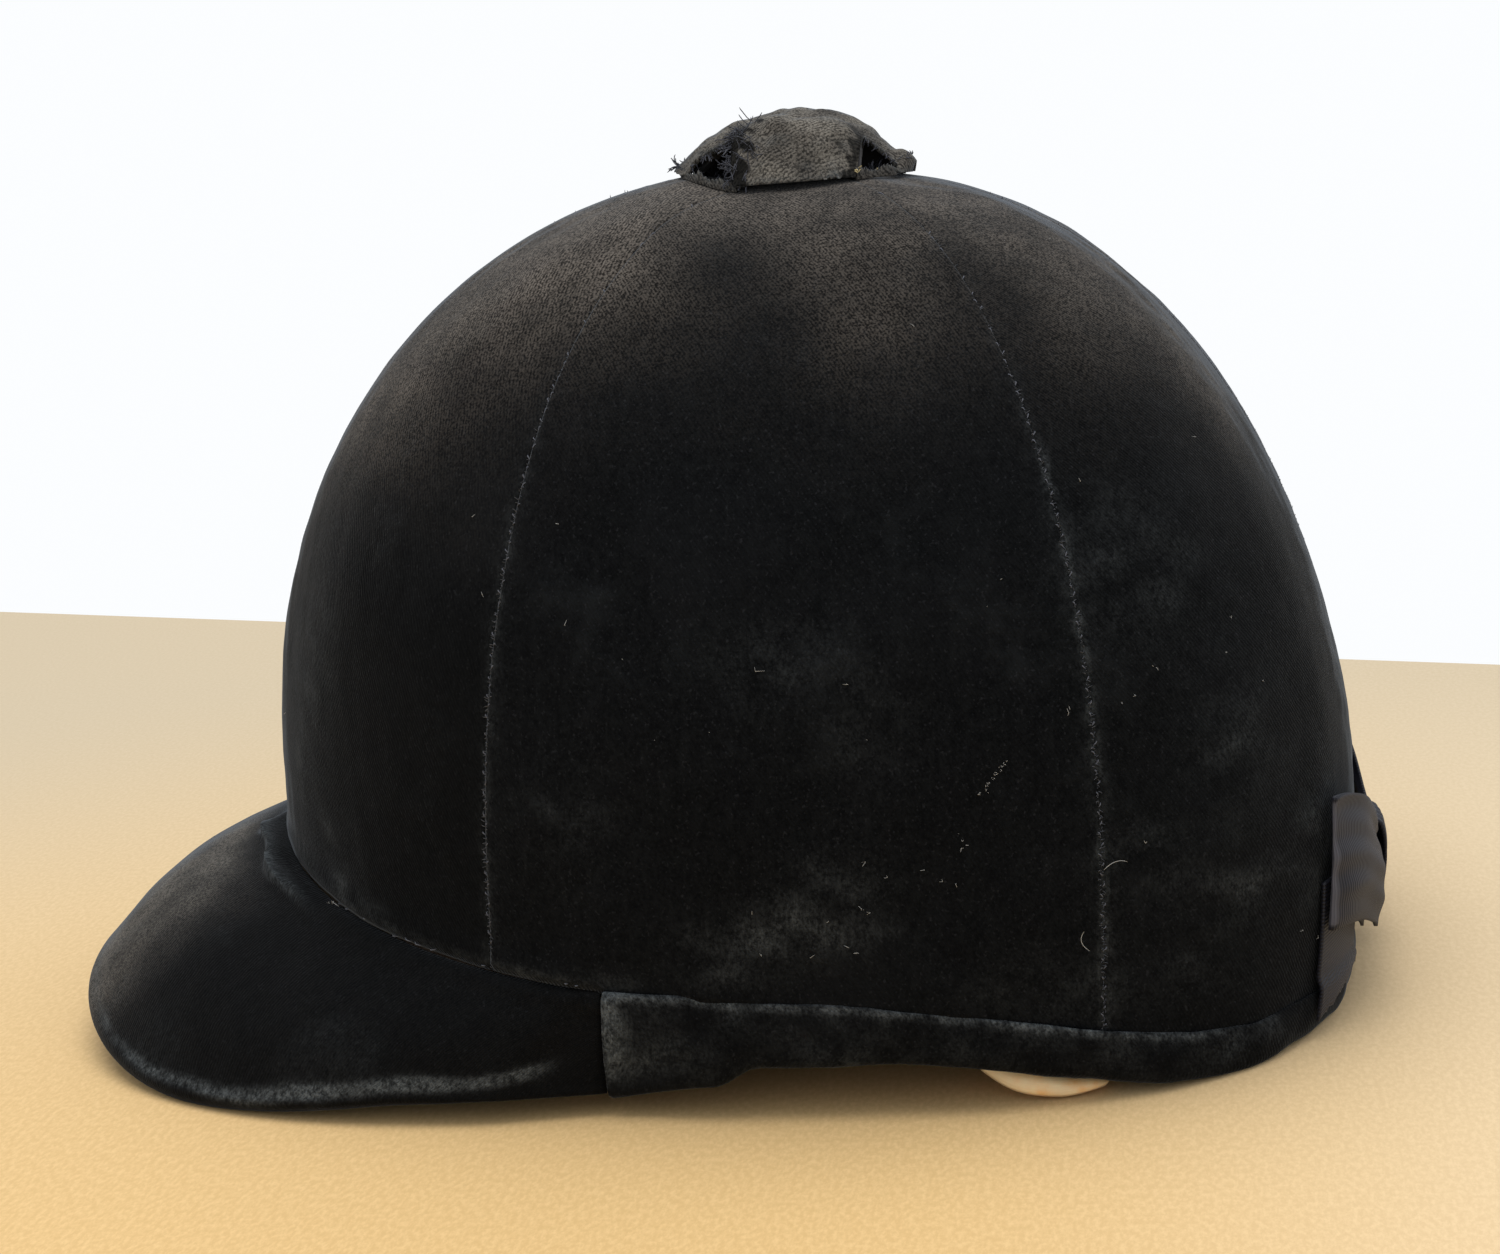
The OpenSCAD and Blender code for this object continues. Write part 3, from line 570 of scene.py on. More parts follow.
def foam_material():
    """Aged foam with open cells."""
    m = Nodes("foam")
    at = m.place()
    cell = m.cells(at, 700.0)
    color = m.mix(m.patches(at, 40, 4, 0.55, 0.35, 0.7), (0.62, 0.52, 0.33), (0.45, 0.34, 0.18))
    color = m.mix(m.span(cell, 0, 0.5, 0.5, 0), color, (0.2, 0.14, 0.07))
    return m.done(color, 0.95, m.bump(cell, 0.8, 0.0006))


def cloth_material(name, dark, lit, pitch):
    """Plain woven cloth."""
    m = Nodes(name)
    weave = m.wave(pitch, *m.axes(m.cloth()))
    color = m.mix(weave, dark, lit)
    color = m.mix(m.patches(m.place(), 60, 4, 0.55, 0.45, 0.75, 0, 0.5), color, lit)
    m.sheen(0.2, 0.5, (0.5, 0.5, 0.5))
    return m.done(color, 0.88, m.bump(weave, 0.6, 0.0002), Specular_IOR_Level=0.2)


def shell_material():
    """Hardened, varnished gossamer cloth of the shell and the peak's board."""
    m = Nodes("shell_board")
    at = m.place()
    fibre = m.noise(m.scaled(at, (400, 60, 400)), 1.0, 3)
    color = m.mix(m.noise(at, 30, 4), (0.05, 0.033, 0.022), (0.12, 0.08, 0.05))
    color = m.mix(m.span(fibre, 0.45, 0.8, 0, 0.4), color, (0.2, 0.15, 0.1))
    return m.done(color, 0.55, m.bump(fibre, 0.5, 0.0004))


def brass_material():
    """Tarnished brass."""
    m = Nodes("brass")
    tarnish = m.patches(m.place(), 420, 4, 0.55, 0.4, 0.7)
    color = m.mix(tarnish, (0.72, 0.52, 0.20), (0.22, 0.14, 0.06))
    return m.done(color, m.span(tarnish, 0, 1, 0.28, 0.6), m.bump(tarnish, 0.2, 0.0001), Metallic=1.0)


def thread_material(name, color):
    """Twisted thread."""
    m = Nodes(name)
    twist = m.noise(m.place(), 3000, 2)
    m.set(Base_Color=m.mix(twist, tuple(0.55 * c for c in color), color), Roughness=0.8)
    m.sheen(0.4, 0.4, (0.7, 0.7, 0.75))
    return m.material


# Velvet gores


def around(p):
    """Angle round the crown at points p, from 0 at the front to 180 at the rear."""
    return np.degrees(np.arctan2(np.abs(p[..., 0]), -p[..., 1]))


def wear_at(p):
    """How far the pile is worn off at points p: the top, and the front and rear shoulders."""
    a = around(p)
    start = mixed(a, 91.0, 139.0, 101.0) + 6 * bump(a - 130, 16) + 5 * waves(p, 55, 5)
    high = 0.93 * smooth((p[..., 2] - start) / mixed(a, 48.0, 38.0, 50.0))
    low = 0.07 * smooth((p[..., 2] - start + 20) / 34)
    return np.clip((high + low) * (0.95 + 0.10 * waves(p, 20, 6)), 0, 1)


# Brushed places of the velvet: angle, height, half width, half height and strength
BRUSHED = (
    (94, 36.5, 14, 5, 0.50), (99, 46.5, 8, 5, 0.30), (86, 31.0, 9, 4, 0.24), (95, 87, 15, 8, 0.11),
    (103, 74, 8, 12, 0.10), (28, 84.5, 15, 13, 0.12), (24, 58, 10, 16, 0.05), (130, 45.5, 15, 8, 0.08),
    (133, 99, 13, 14, 0.16), (121, 24, 16, 7, 0.10), (140, 66, 10, 12, 0.14), (70, 60, 10, 12, 0.06),
    (26, 62, 2.5, 12, 0.18), (33, 49, 3, 6, 0.22), (36, 39.5, 5, 3.5, 0.50), (40, 35.5, 6, 2.5, 0.42),
    (138, 37, 8, 6, 0.24), (134, 22, 10, 5, 0.10), (151, 40, 9, 15, 0.26), (72, 27.5, 10, 2.0, 0.16),
)


def brushed_at(p):
    """How light the velvet is brushed at points p of the wearer's left half."""
    a, total = around(p), 0
    for angle, high, wide, tall, strength in BRUSHED:
        u = (a - angle) * 1.65 / wide
        v = (p[..., 2] - high) / tall
        total = total + strength * np.exp(-(u**2 + v**2) * 1.3)
    return np.clip(total * (0.8 + 0.4 * waves(p, 9, 8)), 0, 0.75)


def fuller(p):
    """Points p with the velvet over the front of the top, and the button's front, stood higher."""
    x, y, z = np.moveaxis(p, -1, 0)
    share = smooth((y + 108) / 80) * smooth((-3 - y) / 17) * smooth((z - 95) / 45)
    share = FULLER * share * np.clip(1 - (x / 92) ** 2, 0, 1)
    return p + share[..., None] * unit(p - np.array([0.0, -10.0, 60.0]))


def cloth_uv(face, down):
    """Cloth coordinates in mm: across from the middle column, and down the piece."""
    across = run(face, 0)
    return joined(across - 0.5 * across[-1:], down)


def gore(node, lo, hi, side, seed, material):
    """One velvet gore, its edges drawn into the seams and its lower edge rolled under."""
    s = np.linspace(0, 1, 71)
    s = 0.45 * s + 0.55 * (0.5 - 0.5 * np.cos(np.pi * s))
    cols = lo + (hi - lo) * s
    face, back = (meridians(cols, gore_low(cols), GORE_TOP, d, 120) for d in (0.0, VELVET - 0.1))
    up = run(face)
    side_on = mirrored(face, side)
    near = np.minimum(*(np.linalg.norm(face - edge, axis=-1) for edge in face[[0, -1]]))
    lift = 0.07 * np.sin(2 * np.pi * up / 4.6) * bump(near - 1.2, 1.2) - 0.16 * bump(near, 0.5)
    lift += (0.22 * waves(side_on, 40, seed) + 0.05 * waves(side_on, 9, seed + 1)) * (1 - bump(near, 8))
    front = smooth((BAND_START - cols) / 6)[:, None]
    lift += front * (0.55 * bump(up - 2.2, 1.8) - 0.4 * bump(up, 0.6))
    outer = fuller(face + normals(face) * lift[..., None])
    level = 1 - 0.9 * smooth((side_on[..., 2] - 95) / 60)
    behind = smooth((cols - 88) / 10)[:, None]
    haze = (0.11 + 0.17 * behind) * bump(near - 0.2, 0.75) + 0.08 * bump(near, 2.6)
    haze = haze * level * (0.8 + 0.4 * waves(side_on, 5, 3))
    foot = smooth((cols - 30) / 8)[:, None] * front * bump(up - 0.9, 0.8)
    foot = foot * (0.46 + 0.3 * waves(side_on, 6, 7))
    # Painted shade: the lower part of each front gore, past 32 degrees from the front, is darkened through
    # the deep field.
    shade = (smooth((cols - 32) / 10) * (cols < SEAM_FRONT))[:, None]
    fields = {
        "wear_and_sheen": wear_at(side_on),
        "crush_and_highlight": np.clip(haze + foot + brushed_at(side_on), 0, 1),
        "deep": 0.38 * shade * (1 - smooth((side_on[..., 2] - 85) / 30)) * (1 - foot),
    }
    outer, back = mirrored(outer, side), mirrored(back, side)
    return sheet_piece(
        f"{node}_velvet", outer, back, material, cloth_uv(face, up), fields,
        node=node, slot="velvet",
    )


def seam_line(a, share, d):
    """Points close together up the seam at angle a, d below the velvet's face."""
    return meridians(np.array([a]), gore_low(a), share, d, 900)[0]


def across_seam(a):
    return unit(on_crown(a + 1, 60.0) - on_crown(a - 1, 60.0))


def seam_threads(material):
    """Stitches that show as small slanted flecks along the six seams and the peak's root."""
    rng = np.random.default_rng(11)
    paths = []
    for a in SEAMS:
        line, over, aside = seam_line(a, 0.28, 0.35), seam_line(a, 0.28, -0.05), across_seam(a)
        length = run(line, 0)
        at, odd = 1.5, 1
        while at < length[-1] - 3:
            end = min(length[-1], at + rng.uniform(0.9, 1.6))
            k, k2 = np.searchsorted(length, (at, end))
            wide = rng.uniform(0.35, 0.8) * odd
            if rng.uniform() < 0.95 - 0.75 * smooth((line[k, 2] - 125) / 35):
                mid = 0.5 * (over[k] + over[k2]) + aside * wide * 0.5
                paths.append([line[k] - aside * wide * 0.4, mid, line[k2] + aside * wide * 1.2])
            at += rng.uniform(1.5, 2.3)
            odd = -odd
    for side in (1, -1):
        a = 37.5
        while a < 77:
            z = float(gore_low(a)) + rng.uniform(0.2, 0.9)
            b = a + rng.uniform(0.5, 1.2)
            z2 = float(gore_low(b)) + rng.uniform(0.2, 0.9)
            if rng.uniform() < 0.35:
                ends = on_crown([a, (a + b) / 2, b], [z, (z + z2) / 2, z2], np.array([0.1, -0.45, 0.1]))
                paths.append(mirrored(ends, side))
            a = b + rng.uniform(0.1, 0.9)
    return threads("seam_stitches", paths, 0.13, 5, material)


def seam_fuzz(material):
    """Short pile that stands across the seams."""
    rng = np.random.default_rng(15)
    paths = []
    for a in SEAMS:
        line, aside = seam_line(a, 0.30, 0.30), across_seam(a)
        out = unit(line - seam_line(a, 0.30, 1.30))
        length = run(line, 0)
        for at in np.arange(0.6, length[-1] - 1, 0.55):
            k = int(np.searchsorted(length, at))
            if rng.uniform() < 0.8 * smooth((line[k, 2] - 110) / 45):
                continue
            way = rng.choice([-1, 1])
            foot = line[k] + aside * way * rng.uniform(0.0, 0.5)
            tip = foot + out[k] * rng.uniform(0.3, 0.6) - aside * way * rng.uniform(0.2, 1.0)
            tip = tip + np.array([0, 0, rng.uniform(-0.8, 0.5)])
            paths.append([foot, 0.5 * (foot + tip) + out[k] * 0.12, tip])
    return threads("seam_fuzz", paths, 0.10, 3, material)


def loose_tuft(material):
    """A few bright broken threads where the front gore meets the peak."""
    rng = np.random.default_rng(12)
    paths = []
    for _ in range(11):
        a, z = 38 + rng.normal() * 0.5, 32.6 + rng.normal() * 0.5
        ends = [on_crown(a, z, 0.2)]
        for k in range(3):
            a, z = a + rng.normal() * 0.5, z + rng.uniform(-0.2, 0.9)
            ends.append(on_crown(a, z, -0.3 - 0.35 * k - 0.3 * rng.uniform()))
        paths.append(ends)
    return threads("loose_tuft", paths, 0.10, 4, material, lifted=False)


# Peak


def past(t):
    """How far t is past the peak's own sides, along the tails to the crown: 0 to 1."""
    return np.maximum(0, (np.abs(t) - 90) / 10.0)


def edge_xy(t):
    """The peak's outline, from -100 to 100 round it, with 0 at the tip."""
    p, c = past(t), np.radians(np.minimum(90, np.abs(t)))
    end = on_crown(TAIL_END, SIDE_LIFT, -0.3)
    x = PEAK_HALF * np.sin(c) ** (2 / PEAK_SQUARE) * (1 - p) + end[0] * p
    y = -(PEAK_SHOULDER + (PEAK_REACH - PEAK_SHOULDER) * np.abs(np.cos(c)) ** (2 / PEAK_SQUARE))
    return np.sign(t) * x, y * (1 - p) + end[1] * p


def edge_low(t):
    c = np.abs(t)
    tip = PEAK_ARCH * np.clip(1 - (c / PEAK_STAND) ** 2, 0, 1) ** 2
    side = SIDE_LIFT * np.clip((np.minimum(90, c) - PEAK_STAND) / (90 - PEAK_STAND), 0, 1) ** 2
    return np.where(c < PEAK_STAND, tip, side)


def peak_roll(t):
    return EDGE_R - (EDGE_R - COVER - 0.25) * smooth((np.abs(t) - BOARD_SPAN) / 8)


def edge_mid(t):
    """Middle of the rolled edge."""
    x, y = edge_xy(t)
    x1, y1 = edge_xy(t + 1)
    x0, y0 = edge_xy(t - 1)
    r = peak_roll(t)
    return joined(x, y, edge_low(t) + r - 0.5) - unit(joined(y1 - y0, x0 - x1, 0 * x)) * r[..., None]


def peak_frame(t):
    """Root, middle of the rolled edge, way out, normal and roll radius at angles t."""
    tail = ROOT_SPAN + (TAIL_END - ROOT_SPAN) * past(t)
    angle = np.where(np.abs(t) <= 90, t * ROOT_SPAN / 90, np.sign(t) * tail)
    root = on_crown(angle, peak_seam(angle) - 0.3)
    mid = edge_mid(t)
    out = unit(mid - root)
    normal = unit(np.cross(out, edge_mid(t + 1) - edge_mid(t - 1)))
    return root, mid, out, normal, peak_roll(t)


def peak_upper(parts, t, s):
    """Points on the peak's upper face, a column for each t, at shares s of the way out."""
    root, mid, _, normal, r = parts
    s = np.atleast_2d(s)[..., None]
    edge = (mid + normal * r[:, None])[:, None]
    rise = PEAK_BELLY * (1 - np.minimum(1, np.abs(t) / 95) ** 4)
    arch = rise[:, None, None] * np.sin(np.pi * s**1.16)
    return root[:, None] * (1 - s) + edge * s + normal[:, None] * arch


def board_span(t):
    """Shares of the way out: where the board starts, and how far it reaches from there."""
    start = 0.07 + 0.35 * np.minimum(1, np.abs(t) / BOARD_SPAN) ** 8
    return start, BOARD_OUT - start


def peak_section(t, d):
    """The peak's velvet at depth d under its face: over the top, round the edge and in."""
    parts = peak_frame(t)
    root, mid, out, normal, r = parts
    upper = peak_upper(parts, t, np.linspace(0, 1, PEAK_ROWS) ** 0.9) - normal[:, None] * d
    w = np.linspace(0, np.pi, 15)[None, 1:, None]
    bend = normal[:, None] * np.cos(w) + out[:, None] * np.sin(w)
    circle = mid[:, None] + (r - d)[:, None, None] * bend
    start, span = board_span(t)
    stop = start + span * UNDER_SHARE + 1.0 / np.linalg.norm(mid - root, axis=-1)
    s = 1 + (stop - 1)[:, None] * np.linspace(0, 1, 7)[1:]
    under = peak_upper(parts, t, s) - (normal * (2 * r - d)[:, None])[:, None]
    return np.concatenate([upper, circle, under], 1)


def peak_velvet(material):
    """The peak's cover, with a fold along its root and a pale front of worn pile and painted sheen."""
    t = np.concatenate([np.linspace(100, 84, 15), np.linspace(83, -83, 190), np.linspace(-84, -100, 15)])
    face, back = peak_section(t, 0.0), peak_section(t, COVER)
    along = run(face)
    spread = np.abs(t)[:, None]
    angle = spread * ROOT_SPAN / 90
    ridge = smooth((angle - 3) / 8) * (1 - smooth((angle - 26) / 16))
    crest = along - 4.6 - 1.2 * waves(face, 30, 23)
    lift = 0.2 * waves(face, 45, 21) + 0.05 * waves(face, 12, 22)
    lift += ridge * (3.1 * bump(crest, 1.7) - 0.8 * bump(along - 1.3, 1.3))
    lift += 0.5 * bump(along - 2.5, 2.0) - 0.5 * bump(along, 0.8)
    lift *= 1 - smooth((np.arange(face.shape[1])[None] - PEAK_ROWS + 6) / 10)
    outer = face + unit(face - back) * lift[..., None]
    outer[..., 2] = np.maximum(outer[..., 2], 0.0)
    back[..., 2] = np.maximum(back[..., 2], 0.45)
    half = 1.2 + 0.9 * smooth((spread - 52) / 18) - 0.5 * smooth((spread - 84) / 8)
    inward = 0.6 + 2.2 * smooth((spread - 67) / 14) + 2.8 * smooth((spread - 84) / 9)
    over_edge = along - along[:, PEAK_ROWS - 1 : PEAK_ROWS] + inward + 0.3 * waves(face, 30, 26)
    strong = 0.45 + 0.85 * smooth((spread - 40) / 25) + 0.4 * smooth((spread - 76) / 8)
    crush_and_highlight = bump(over_edge, half) * (0.95 + 0.15 * waves(face, 8, 24))
    crush_and_highlight = crush_and_highlight * strong * (1 - smooth((spread - 90) / 6))
    # The pale front is worn pile and painted sheen; it reaches further on the wearer's right, the side seen
    # at a grazing angle.
    off_tip = spread - 14 * (t[:, None] < 0)
    bald_and_sheen = smooth((42 - off_tip) / 36) * smooth((along - 6) / 16) * (0.85 + 0.22 * waves(face, 18, 28))
    bald_and_sheen = np.clip(bald_and_sheen, 0, 1)
    # Painted shade: the groove beside the root's ridge and the plain velvet beyond the pale front are
    # darkened through the deep field.
    groove = ridge * bump(along - 1.6, 1.5)
    plain = smooth((off_tip - 32) / 14) * (1 - np.clip(2 * crush_and_highlight, 0, 1))
    stray = 0.10 * smooth(waves(face, 34, 25) - 0.5) * (along > 20)
    # Painted highlight on the crest of the root's ridge, added to the crushed pile with stray crushed
    # patches and a little of the pale front.
    crush_and_highlight += ridge * 0.9 * bump(crest, 1.5) + stray + 0.12 * bald_and_sheen
    fields = {
        "wear_and_sheen": 0.03 + 0.82 * bald_and_sheen,
        "pale": 0.52 * bald_and_sheen,
        "crush_and_highlight": np.clip(crush_and_highlight, 0, 1),
        "deep": np.clip(0.45 * plain + 0.85 * groove, 0, 1),
    }
    uv = cloth_uv(face, along)
    return sheet_piece("peak_velvet", outer, back, material, uv, fields, node="peak_cover", slot="velvet")


def peak_cloth(material):
    """The cloth on the peak's underside."""
    t = np.linspace(BOARD_SPAN, -BOARD_SPAN, 121)
    parts = peak_frame(t)
    start, span = board_span(t)
    face = peak_upper(parts, t, start[:, None] + span[:, None] * np.linspace(0, UNDER_SHARE, 30))
    normal = parts[3][:, None]
    depth = COVER + 2 * SKIN_GAP + BOARD
    ripple = 0.12 * waves(face, 25, 31)[..., None]
    upper, lower = face - normal * (depth + 0.25), face - normal * (depth + COVER - 0.15 + ripple)
    return sheet_piece(
        "peak_cloth", upper, lower, material, flat_uv(face, 15),
        node="peak_underlining", slot="underlining",
    )


# Rim band


def section_grid(angles, outline, n):
    """A grid whose column at each angle is a smooth line through (height, depth) pairs."""
    cols = []
    for a in angles:
        pairs = np.array(outline(a), float)
        cols.append(rounded(on_crown(np.full(len(pairs), a), pairs[:, 0], pairs[:, 1]), n))
    return np.array(cols)


def band_flap(a):
    """How far the doubled end of the band hangs below the rim."""
    return 3.4 * (1 - smooth((turn(a) - BAND_START - 10) / 4))


def band_outline(a):
    """Outside of the band: over its top edge, down, under the rim and up inside."""
    edge, top = float(rim(a)), float(band_top(a))
    z = edge - float(band_flap(a))
    p = 0.85 + 0.9 * (1 - float(smooth(turn(a) - BAND_START - 1.0)))
    return [
        (top - 0.3, 0.5), (top + 0.3, -0.1), (top + 0.1, -0.45 * p), (top - 1.6, -p),
        (0.5 * (z + top), -p - 0.25), (z + 2.0, -p), (z + 0.6, -0.2), (z, 1.2), (z, 3.0),
        (z + 0.2, BINDING_IN - 0.8), (z + 1.4, BINDING_IN), (edge + 9.0, BINDING_IN),
    ]


def band_backing(a):
    """Inside of the band, along its outline."""
    z, top = float(rim(a)), float(band_top(a))
    return [
        (top - 0.6, 0.9), (top - 1.2, 1.1), (0.5 * (z + top), 1.1), (z + 1.9, 1.1), (z + 1.5, 1.7),
        (z + 1.5, 4.4), (z + 1.9, 4.9), (z + 9.0, 4.95),
    ]


def rim_velvet(material):
    """The band round the rim, its hem pale and its front end doubled."""
    start = BAND_START + np.array([0, 0.25, 0.5, 0.8, 1.1, 1.5, 2.0, 3.0, 4.5])
    half = np.concatenate([start, np.linspace(BAND_START + 6, 180, 96)])
    cols = np.concatenate([half, 360 - half[-2::-1]])[::-1]
    outer, inner = section_grid(cols, band_outline, 60), section_grid(cols, band_backing, 60)
    along = run(outer)
    end = np.minimum(cols - BAND_START, 360 - BAND_START - cols)[:, None]
    outside = smooth((22 - along) / 8)
    lift = (0.18 * waves(outer, 22, 41) + 0.06 * waves(outer, 7, 42)) * outside
    outer = outer + normals(outer) * lift[..., None]
    sag = 0.5 * waves(outer, 40, 43) * smooth((along - 8) / 8) * (rim(cols) > 3)[:, None]
    outer[..., 2] = np.maximum(outer[..., 2] + sag, 0.0)
    crush_and_highlight = 0.85 * bump(along - 1.6, 0.95) * (0.8 + 0.3 * waves(outer, 4, 44)) * (1 - smooth((end - 50) / 9))
    hem = 1.15 * bump(end - 0.8, 1.1) + 0.10 * bump(end - 3, 5)
    crush_and_highlight += hem * outside * (0.8 + 0.2 * waves(outer, 6, 45))
    crush_and_highlight += 0.06 * outside * (1 + waves(outer, 12, 47))
    crush_and_highlight += 0.14 * smooth(waves(outer, 16, 46) - 0.1) * outside * smooth((30 - end) / 15)
    fields = {"crush_and_highlight": np.clip(crush_and_highlight, 0, 1)}
    return sheet_piece(
        "rim_velvet", outer, inner, material, cloth_uv(outer, along), fields,
        node="rim_band", slot="velvet",
    )


def brow_tape(material):
    """The tape round the shell's edge over the brow."""

    def outline(a):
        z = float(rim(a))
        return [
            (z + 3.4, 0.5), (z + 1.6, 0.3), (z + 0.4, 0.5), (z, 1.4), (z, 3.4),
            (z + 0.2, BINDING_IN - 0.7), (z + 1.4, BINDING_IN), (z + 9.0, BINDING_IN),
        ]

    def backing(a):
        z = float(rim(a))
        return [
            (z + 3.4, 1.0), (z + 1.9, 1.0), (z + 1.5, 1.7), (z + 1.5, 4.4), (z + 1.9, 4.95),
            (z + 9.0, 4.95),
        ]

    cols = np.linspace(68, -68, 121)
    outer, inner = section_grid(cols, outline, 34), section_grid(cols, backing, 34)
    return sheet_piece(
        "brow_tape", outer, inner, material, flat_uv(outer, 12),
        node="brow_binding", slot="ribbon",
    )


# Button


def crown_top(x, y):
    """Height of the crown's face over a point near its top."""
    front = y < APEX_Y
    m = np.where(front, PLAN_FRONT, PLAN_REAR)
    u, v = np.abs(x / HALF), (y - APEX_Y) / np.where(front, FRONT, REAR)
    share = np.clip((u**m + np.abs(v) ** m) ** (1 / m), 0, 1)
    return at_share(np.degrees(np.arctan2(u, -v)), share)[..., 2]


BUTTON_SEAT = float(at_share(0.0, BUTTON_R / FRONT)[2]) + 0.3
BUTTON_TOP = HEIGHT + 13.5 - BUTTON_SEAT


def dome(x, y, d=0.0):
    """The button's face, or a layer d below it, over (x, y) from its middle."""
    r = np.hypot(x, y) / (BUTTON_R - d)
    z = (BUTTON_TOP - d) * (1 - np.minimum(1, r) ** BUTTON_ROUND)
    return np.stack([x, y + BUTTON_Y, z + BUTTON_SEAT], -1)


def strip_half(y):
    """Half the button's width at y: only a strip is left above the two torn vents."""
    full = np.sqrt(np.maximum(0, BUTTON_R**2 - y**2)) - 0.02
    z = 1 - np.minimum(0.97, np.abs(y) / BUTTON_R) ** BUTTON_ROUND
    strip = np.where(y < 0, 4.0, 1.9) / BUTTON_TOP
    r = BUTTON_R * (1 - np.maximum(0.02, z - strip)) ** (1 / BUTTON_ROUND)
    narrow = np.minimum(full, np.sqrt(np.maximum(4, r**2 - y**2)))
    front = smooth((y + 23.0) / 0.9) * (1 - smooth((y + 11.3) / 0.9))
    rear = smooth((y - 15.2) / 0.9) * (1 - smooth((y - 22.3) / 0.9))
    return full + (narrow - full) * np.maximum(front, rear)


def button_velvet(material):
    """The button's velvet, torn open at its vents."""
    rng = np.random.default_rng(61)
    spans = (
        (-25.3, -21.6, 14), (-21.3, -12.0, 26), (-11.7, -10.0, 12), (-9.6, 14.8, 56),
        (15.0, 16.4, 10), (16.7, 21.9, 18), (22.1, 25.3, 14),
    )
    y = np.concatenate([np.linspace(*span) for span in spans])
    across = np.linspace(-1, 1, 81)
    half = strip_half(y)[:, None]
    frayed = 1 + 0.02 * rng.normal(size=(len(y), 1)) * (half < 24)
    x = half * np.sign(across) * np.abs(across) ** 0.82 * frayed
    yy = np.broadcast_to(y[:, None], x.shape)
    face, back = dome(x, yy), dome(x * 0.985, yy * 0.985, 1.0)
    lift = 0.35 * waves(face, 14, 62) + 0.12 * waves(face, 5, 63)
    lift *= 1 - smooth((np.hypot(x, yy) / BUTTON_R - 0.86) / 0.14)
    curl = 2.0 * smooth((yy - 20.5) / 4.5) * (1 - np.abs(across)[None] ** 2) + 0.8 * smooth((-yy - 22) / 3)
    up = joined(0 * lift, 0.35 * curl * np.sign(yy), lift + curl)
    shown = 0.58 + 0.16 * waves(face, 16, 64) + 0.3 * smooth((face[..., 2] - 180) / 6)
    shown = np.clip(shown, 0.15, 1)
    edge = bump((1 - np.abs(across)[None]) * half, 1.3)
    torn = yy + 1.2 * waves(face, 4, 69)
    # Painted shade: the velvet next to the torn vents, away from the middle, is darkened through the deep
    # field.
    front = 0.92 * smooth((-6.0 - torn) / 1.5) * smooth((yy + 12.6) / 0.8)
    rear = 0.8 * smooth((torn - 12.8) / 2.2) * smooth((16.4 - yy) / 0.8)
    fields = {
        "wear_and_sheen": shown,
        "pale": np.clip(0.8 * shown + 0.12 * waves(face, 9, 66), 0, 0.9),
        "crush_and_highlight": np.clip(0.45 * edge + 0.12 * waves(face, 7, 65), 0, 0.8),
        "deep": (front + rear) * smooth((np.abs(x) - 5) / 6),
    }
    outer, inner = fuller(face + up), fuller(back + up * 0.95)
    return sheet_piece(
        "button_velvet", outer, inner, material, joined(x, yy), fields, node="button_cover", slot="velvet"
    )


def button_lip(name, y0, y1, side, seed, material):
    """The low frayed strip of velvet that is left at the foot of a torn vent."""
    rng = np.random.default_rng(seed)
    y = np.linspace(y0, y1, 46)[:, None]
    v = np.linspace(0, 1, 9)[None]
    high = 1.7 + 0.5 * np.sin(1.3 * y) + 0.25 * rng.normal(size=y.shape)
    grids = []
    for inset in (0.5, 1.2):
        r = BUTTON_R - inset - 0.5 * v**2
        x = side * np.sqrt(np.maximum(4, r**2 - y**2))
        foot = crown_top(x, y + BUTTON_Y) + 0.2
        grids.append(fuller(joined(x, y + BUTTON_Y, foot + high * v)))
    shape = grids[0].shape[:2]
    fields = {"wear_and_sheen": np.full(shape, 0.4), "pale": np.full(shape, 0.25)}
    fields["crush_and_highlight"] = np.broadcast_to(0.35 * v, shape)
    return sheet_piece(
        name, *grids, material, joined(y, 2 * v), fields,
        node="button_cover", slot="velvet",
    )


def vent_glint(material):
    """Brass-coloured crumbs at the torn edge of the rear vents: painted glints of brass."""
    rng = np.random.default_rng(72)
    paths = []
    for side in (1, -1):
        for _ in range(7):
            y = rng.choice([rng.uniform(14.6, 15.6), rng.uniform(18.2, 19.2)])
            x = side * (math.sqrt(BUTTON_R**2 - y**2) - rng.uniform(0.4, 1.6))
            way = (0.3 * side, 0.6, rng.uniform(-1, 1))
            paths.append(frayed_thread(rng, dome(x, y, -0.2), way, 0.9, 1.5))
    return threads("vent_glint", paths, 0.11, 4, material, lifted=False)


def frayed_thread(rng, start, way, length, bend):
    """One loose thread from start: it sets off along way and bends as it goes."""
    steps = 7
    way = unit(np.asarray(way, float))
    turn_to = unit(rng.normal(size=3)) * bend
    points = [np.asarray(start, float)]
    for _ in range(steps):
        way = unit(way + turn_to / steps + rng.normal(size=3) * 0.10)
        points.append(points[-1] + way * length / steps)
    return np.array(points)


